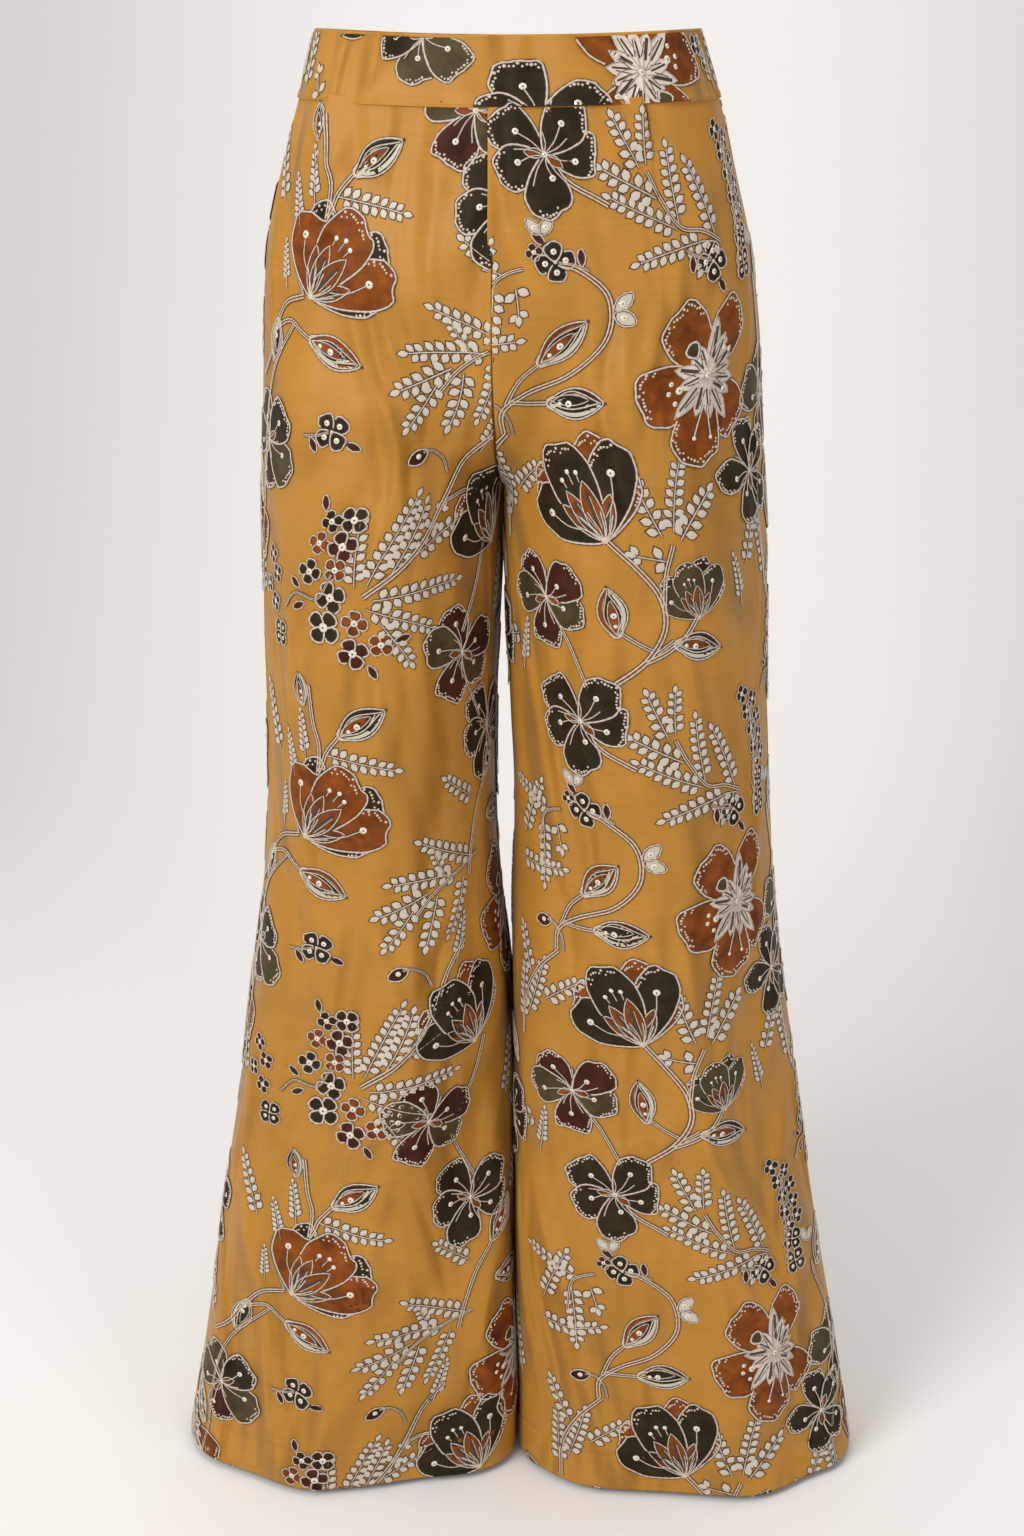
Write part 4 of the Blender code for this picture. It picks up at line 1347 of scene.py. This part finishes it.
INNER_B = [                # flowers near the inseam, which aren't all at the same repeat
    Place("flower_maroon", 56, 44, 10), Place("flower_maroon", 72, 394, 10), Place("flower_maroon", 46, 741, 10),
    Place("flower_dark", 84, 100, 30), Place("flower_dark", 108, 456, 30), Place("flower_dark", 86, 816, 30),
    Place("poppy", 104, 324, 8, 0.95), Place("poppy", 82, 687, 8, 0.95), Place("poppy", 104, 1046, 8, 0.95),
]
STALKS_B = [
    (curve((-34, -112), (-30, -104), (-27, -96), (-18, -84)), 2.6),
    (curve((-34, -112), (-33, -92), (-38, -76), (-42, -50)), 2.6),
    (curve((-51, -160), (-62, -130), (-60, -112)), 1.6),
    (curve((-51, -160), (-70, -166), (-84, -182), (-96, -200), (-112, -214)), 2.6),
    (curve((-84, -182), (-66, -176), (-56, -182), (-49, -186)), 2.4),
    (curve((90, -182), (64, -192), (46, -203), (34, -216)), 2.0),
    (curve((-2, -348), (18, -330), (34, -310), (46, -286), (56, -262), (72, -242)), 3.0),
    (curve((44, -290), (60, -284), (76, -284)), 2.2),
    (curve((104, -130), (92, -150), (84, -176), (80, -196)), 2.6),
    (curve((-62, -178), (-92, -210), (-108, -250), (-112, -300)), 2.0),
    (curve((92, -322), (86, -350), (72, -380)), 2.8),
    (curve((66, -396), (80, -420), (96, -446)), 2.2),
    (curve((-112, -300), (-118, -330), (-108, -360)), 2.0),
]
BAND_PRINT = [
    Place("flower_olive", -40, 2, 170, 0.85), Place("bud", -72, -12, 118, 0.85), Place("frond_short", -134, 34, 10),
    Place("flower_dark", 22, 50, 12), Place("grand", 80, 24, 176), Place("spike", 146, 30, 14),
    Place("blossom", 134, 10, 20), Place("blossom", 142, 20, 20), Place("leaflets", -112, 40, 30),
]
BAND_STEP = 296.0          # the band's print repeats round the waist, in mm


def layout(node, cut):
    """Every place of a piece's print, in mm on its flat cut."""
    if "waistband" in node:
        low, high = cut.x.min() / MM, cut.x.max() / MM
        rounds = range(-2, 3)
        return [place._replace(x=place.x + BAND_STEP * k) for k in rounds for place in BAND_PRINT
                if low - 60 < place.x + BAND_STEP * k < high + 60]
    tile, once, start = {
        "front_leg_left": (TILE_A, [], 0.0),
        "front_leg_right": (TILE_B, INNER_B, 0.0),
        "back_leg_left": (TILE_A, [], -150.0),
        "back_leg_right": (TILE_B, INNER_B, -205.0),
    }[node]
    lean = LEAN if tile is TILE_A else 0.0
    places = [place._replace(x=place.x + lean * REPEAT * k, y=place.y + start + REPEAT * k)
              for k in range(-1, 4) for place in tile]
    places += [place._replace(y=place.y + start) for place in once]
    lowest = OUTSEAM / MM
    return [place for place in places if place.motif.startswith("stalks") or -30 < place.y < lowest + 70]


def flat_print(node, cut, motifs):
    """The piece's whole print and embroidery, still flat, in metres, reaching past its edges."""
    bm = bmesh.new()
    for place in layout(node, cut):
        seen = len(bm.verts)
        bm.from_mesh(motifs[place.motif])
        bm.verts.ensure_lookup_table()
        matrix = (Matrix.Translation((place.x * MM, -place.y * MM, 0))
                  @ Matrix.Rotation(math.radians(place.turn), 4, "Z")
                  @ Matrix.Diagonal((place.scale, place.scale, 1, 1)))
        bmesh.ops.transform(bm, matrix=matrix, verts=bm.verts[seen:])
    return bm


def columns_at(cut, x, y):
    """Where flat points lie on a cut's grid, as fractional rows and columns, and which are beyond its edges."""
    rows = np.interp(y, cut.y[:, 0], np.arange(len(cut.y)))
    low = np.minimum(rows.astype(int), len(cut.y) - 2)
    share = rows - low
    columns = np.zeros(len(x))
    beyond = (y < cut.y[0, 0]) | (y > cut.y[-1, 0])
    for start in range(0, len(x), 20000):
        part = slice(start, start + 20000)
        f = share[part, None]
        line = cut.x[low[part]] * (1 - f) + cut.x[low[part] + 1] * f
        before = np.clip(np.sum(line <= x[part, None], axis=1) - 1, 0, line.shape[1] - 2)
        spots = np.arange(len(before))
        left, right = line[spots, before], line[spots, before + 1]
        columns[part] = before + np.clip((x[part] - left) / (right - left), 0, 1)
        beyond[part] |= (x[part] < line[:, 0]) | (x[part] > line[:, -1])
    return rows, columns, beyond


def bilinear(values, rows, columns):
    """A grid's values between its points."""
    low = np.minimum(rows.astype(int), values.shape[0] - 2)
    left = np.minimum(columns.astype(int), values.shape[1] - 2)
    f, g = (rows - low)[:, None], (columns - left)[:, None]
    return ((values[low, left] * (1 - g) + values[low, left + 1] * g) * (1 - f)
            + (values[low + 1, left] * (1 - g) + values[low + 1, left + 1] * g) * f)


def sew_on(name, cut, flat, keep, finishes, cut_through):
    """A piece made of the flat print's faces whose finish is kept, wrapped onto the cloth.

    The print is cut through at the cloth's edge. Stitches end inside it.
    """
    lost = all if cut_through else any
    bm = flat.copy()
    bm.verts.index_update()
    spots = np.array([vert.co for vert in bm.verts])
    rows, columns, beyond = columns_at(cut, spots[:, 0], -spots[:, 1])
    gone = [face for face in bm.faces
            if face.material_index not in keep or lost(beyond[vert.index] for vert in face.verts)]
    bmesh.ops.delete(bm, geom=gone, context="FACES")
    bm.verts.index_update()
    piece = linked(name, bm, *finishes)
    mesh = piece.data
    spots = np.zeros(len(mesh.vertices) * 3)
    mesh.vertices.foreach_get("co", spots)
    spots = spots.reshape(-1, 3)
    rows, columns, beyond = columns_at(cut, spots[:, 0], -spots[:, 1])
    out = bilinear(cut.out, rows, columns)
    out /= np.linalg.norm(out, axis=1, keepdims=True)
    place = bilinear(cut.place, rows, columns) + out * spots[:, 2:]
    mesh.vertices.foreach_set("co", place.ravel())
    lay_map(mesh, spots[:, 0], -spots[:, 1])
    first = min(keep)
    slots = np.zeros(len(mesh.polygons), int)
    mesh.polygons.foreach_get("material_index", slots)
    mesh.polygons.foreach_set("material_index", slots - first)
    mesh.update()
    return piece


# ---------------------------------------------------------------- waistband

BAND_TOP = 0.05            # share of the band's depth taken by its rounded upper edge
STITCH_SHARES = (0.925, 0.975)


def band_lift(share):
    """How far the band's face stands out, with the two rows of stitches along its lower edge pulled in."""
    lift = BAND_PROUD + BAND_LIP * smooth((share - 0.86) / 0.08)
    for row in STITCH_SHARES:
        lift = lift - 0.0003 * np.exp(-((share - row) / 0.012) ** 2)
    return lift


def cut_band(start, end, columns):
    """The grid of a waistband piece's face. Its signed turns run from -1, the centre back, over 0, the front, to 1."""
    signed = np.linspace(start, end, columns + 1)
    shares = np.concatenate([np.linspace(BAND_TOP, 0.88, 12), np.linspace(0.895, 0.995, 11)])
    place = np.zeros((len(shares), len(signed), 3))
    for half in (1, -1):
        mine = signed > 0 if half > 0 else signed <= 0
        turns = np.abs(signed[mine])[None, :]
        drop = BAND_DEPTH * shares[:, None]
        place[:, mine] = form(half, turns, drop) + outward(half, turns, drop) * band_lift(shares)[:, None, None]
    x = np.broadcast_to(signed * float(half_girth(BAND_DEPTH / 2)), place.shape[:2])
    y = np.broadcast_to(BAND_DEPTH * shares[:, None], place.shape[:2])
    return Cut(x, y, place, facing(place))


def band_piece(name, cut, finish):
    """A waistband: its face carried over the rounded top and down the inside, closed all round."""
    inner = cut.place - cut.out * (BAND_CLOTH + BAND_LIP * 0.5)
    middle = (cut.place[0] + inner[0]) / 2
    up = np.array([0.0, 0.0, BAND_DEPTH * BAND_TOP])
    arcs = np.linspace(0, math.pi, 9)[1:-1]
    top = np.stack([middle + (cut.place[0] - middle) * math.cos(a) + up * math.sin(a) for a in arcs])
    rows = np.concatenate([inner[::-1][:1], cut.place[::-1], top, inner])
    flat = np.concatenate([cut.y[::-1][:1], cut.y[::-1], np.zeros(top.shape[:2]), cut.y])
    whole = Cut(np.repeat(cut.x[:1], len(rows), axis=0)[::-1], flat[::-1], rows[::-1], rows)
    piece = cloth_piece(name, whole, finish)
    bm = bmesh.new()
    bm.from_mesh(piece.data)
    bmesh.ops.remove_doubles(bm, verts=bm.verts, dist=1e-6)
    bmesh.ops.holes_fill(bm, edges=[edge for edge in bm.edges if edge.is_boundary], sides=0)
    bmesh.ops.recalc_face_normals(bm, faces=bm.faces)
    bm.to_mesh(piece.data)
    bm.free()
    piece.data.shade_smooth()
    piece.data.set_sharp_from_angle(angle=math.radians(60))
    return piece


# ---------------------------------------------------------------- building

mottle, twill, crumple = mottle_group(), twill_group(), crumple_group()
silk = dyed_cloth("Mustard silk twill", [c * 0.90 for c in GOLD], [c * 1.10 for c in GOLD], mottle, twill,
                  14.0, 0.25, 0.45, 0.08, 0.22)
grounds = [dyed_cloth(f"Printed {name}", *PRINT_COLOURS[name], mottle, twill, 70.0, 0.1, 0.55, 0.02, 0.10, 0.9)
           for name in FINISHES[:PRINTED]]
stitches = [stitched_material(f"Stitched {name}", STITCH_LOOKS[name]) for name in FINISHES[PRINTED:]]
motifs = make_motifs()

sewn = {panel.node: cut_panel(panel) for panel in PANELS}
BANDS = [
    ("front_waistband", -0.5, 0.5, 120),
    ("back_waistband_left", 0.5, 1.0, 60),
    ("back_waistband_right", -1.0, -0.5, 60),
]
for node, start, end, columns in BANDS:
    gap = SEAM_GAP / 2 / float(half_girth(0.0))
    sewn[node] = cut_band(start + gap, end - gap, columns)

for node, cut in sewn.items():
    is_band = "waistband" in node
    cloth = (band_piece if is_band else cloth_piece)(f"{node}_cloth", cut, silk)
    if not is_band:
        add_wall(cloth, CLOTH)
    flat = flat_print(node, cut, motifs)
    ground = sew_on(f"{node}_print", cut, flat, range(PRINTED), grounds, True)
    stitched = sew_on(f"{node}_embroidery", cut, flat, range(PRINTED, len(FINISHES)), stitches, False)
    flat.free()
    for piece in (cloth, ground, stitched):
        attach(piece, "garment")
    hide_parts(node)

for mesh in motifs.values():
    bpy.data.meshes.remove(mesh)

tape, brass = zip_tape_cloth(), zip_brass()
for node, finish in (("zip_tape_left", tape), ("zip_tape_right", tape), ("zip_slider", brass), ("zip_pull", brass)):
    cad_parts[node].data.materials[0] = finish

# ---------------------------------------------------------------- room, light and camera

FLOOR_Z = -OUTSEAM - 0.006


def room():
    """A plain pale floor that sweeps up into a wall, with painted shade that darkens it towards its sides at the back
    and up the wall, and clear from behind.
    """
    profile = [(-4.0, 0.0), (-1.0, 0.0), (0.9, 0.0)]
    profile += [(0.9 + 1.4 * math.sin(a), 1.4 - 1.4 * math.cos(a)) for a in np.linspace(0.1, math.pi / 2, 16)]
    profile.append((2.3, 5.0))
    bm = bmesh.new()
    bmesh.ops.create_grid(bm, x_segments=1, y_segments=len(profile) - 1, size=1.0)
    for vert in bm.verts:
        y, z = profile[round((vert.co.y + 1) / 2 * (len(profile) - 1))]
        vert.co = (vert.co.x * 6.0, y, z + FLOOR_Z)
    floor = linked("floor", bm)
    made, nodes, links = new_material("Pale floor with painted side shade")
    shader = nodes["Principled BSDF"]
    shader.inputs["Roughness"].default_value = 0.9
    spot = add_node(nodes, "ShaderNodeSeparateXYZ")
    links.new(add_node(nodes, "ShaderNodeTexCoord").outputs["Object"], spot.inputs["Vector"])
    # painted shade: the backdrop's colour darkens away from the middle, towards its sides, from where the floor meets
    # the wall upwards
    aside = add_node(nodes, "ShaderNodeMath", operation="ABSOLUTE")
    links.new(spot.outputs["X"], aside.inputs[0])
    outer = add_node(nodes, "ShaderNodeMapRange", interpolation_type="SMOOTHSTEP")
    outer.inputs["From Min"].default_value = 0.25
    outer.inputs["From Max"].default_value = 1.0
    links.new(aside.outputs["Value"], outer.inputs["Value"])
    wall = add_node(nodes, "ShaderNodeMapRange", interpolation_type="SMOOTHSTEP")
    wall.inputs["From Min"].default_value = 0.6
    wall.inputs["From Max"].default_value = 1.4
    links.new(spot.outputs["Y"], wall.inputs["Value"])
    painted_shade_mask = add_node(nodes, "ShaderNodeMath", operation="MULTIPLY")
    links.new(outer.outputs["Result"], painted_shade_mask.inputs[0])
    links.new(wall.outputs["Result"], painted_shade_mask.inputs[1])
    # the painted shade's colours: pale in the middle, darker at the sides
    shade = add_node(nodes, "ShaderNodeValToRGB")
    shade.color_ramp.elements[0].color = (0.82, 0.80, 0.785, 1)
    shade.color_ramp.elements[1].color = (0.62, 0.60, 0.585, 1)
    links.new(painted_shade_mask.outputs["Value"], shade.inputs["Fac"])
    links.new(shade.outputs["Color"], shader.inputs["Base Color"])
    clear = add_node(nodes, "ShaderNodeBsdfTransparent")
    one_sided = add_node(nodes, "ShaderNodeMixShader")
    links.new(add_node(nodes, "ShaderNodeNewGeometry").outputs["Backfacing"], one_sided.inputs["Fac"])
    links.new(shader.outputs["BSDF"], one_sided.inputs[1])
    links.new(clear.outputs["BSDF"], one_sided.inputs[2])
    links.new(one_sided.outputs["Shader"], nodes["Material Output"].inputs["Surface"])
    floor.data.materials.append(made)
    floor.data.shade_smooth()


def area_light(name, place, target, size, power, colour):
    data = bpy.data.lights.new(name, "AREA")
    data.shape = "RECTANGLE"
    data.size, data.size_y = size
    data.energy = power
    data.color = colour
    lamp = bpy.data.objects.new(name, data)
    lamp.location = place
    lamp.rotation_euler = (Vector(target) - Vector(place)).to_track_quat("-Z", "Y").to_euler()
    bpy.context.scene.collection.objects.link(lamp)


def camera():
    """Level with the waist, a step to the wearer's left, looking down the garment."""
    distance, aside, down = 1.5, math.radians(3.5), math.radians(18.35)
    data = bpy.data.cameras.new("camera")
    data.lens = 52.3
    eye = bpy.data.objects.new("camera", data)
    eye.location = (distance * math.sin(aside), -distance * math.cos(aside), 0.0)
    eye.rotation_euler = (math.pi / 2 - down, 0, aside)
    bpy.context.scene.collection.objects.link(eye)
    bpy.context.scene.camera = eye


room()
area_light("key", (-1.9, -2.5, 1.5), (0, 0, -0.45), (1.5, 1.8), 88, (1.0, 0.985, 0.96))
area_light("fill", (2.2, -2.4, 0.2), (0, 0, -0.6), (2.0, 2.4), 20, (1.0, 0.99, 0.98))
area_light("top", (0.0, -0.2, 2.4), (0, 0.2, -0.4), (2.4, 2.4), 30, (1.0, 0.995, 0.985))
world = bpy.data.worlds.new("studio")
world.use_nodes = True
world.node_tree.nodes["Background"].inputs["Color"].default_value = (1.0, 0.99, 0.98, 1)
world.node_tree.nodes["Background"].inputs["Strength"].default_value = 0.55
bpy.context.scene.world = world
bpy.context.scene.view_settings.view_transform = "Standard"
camera()
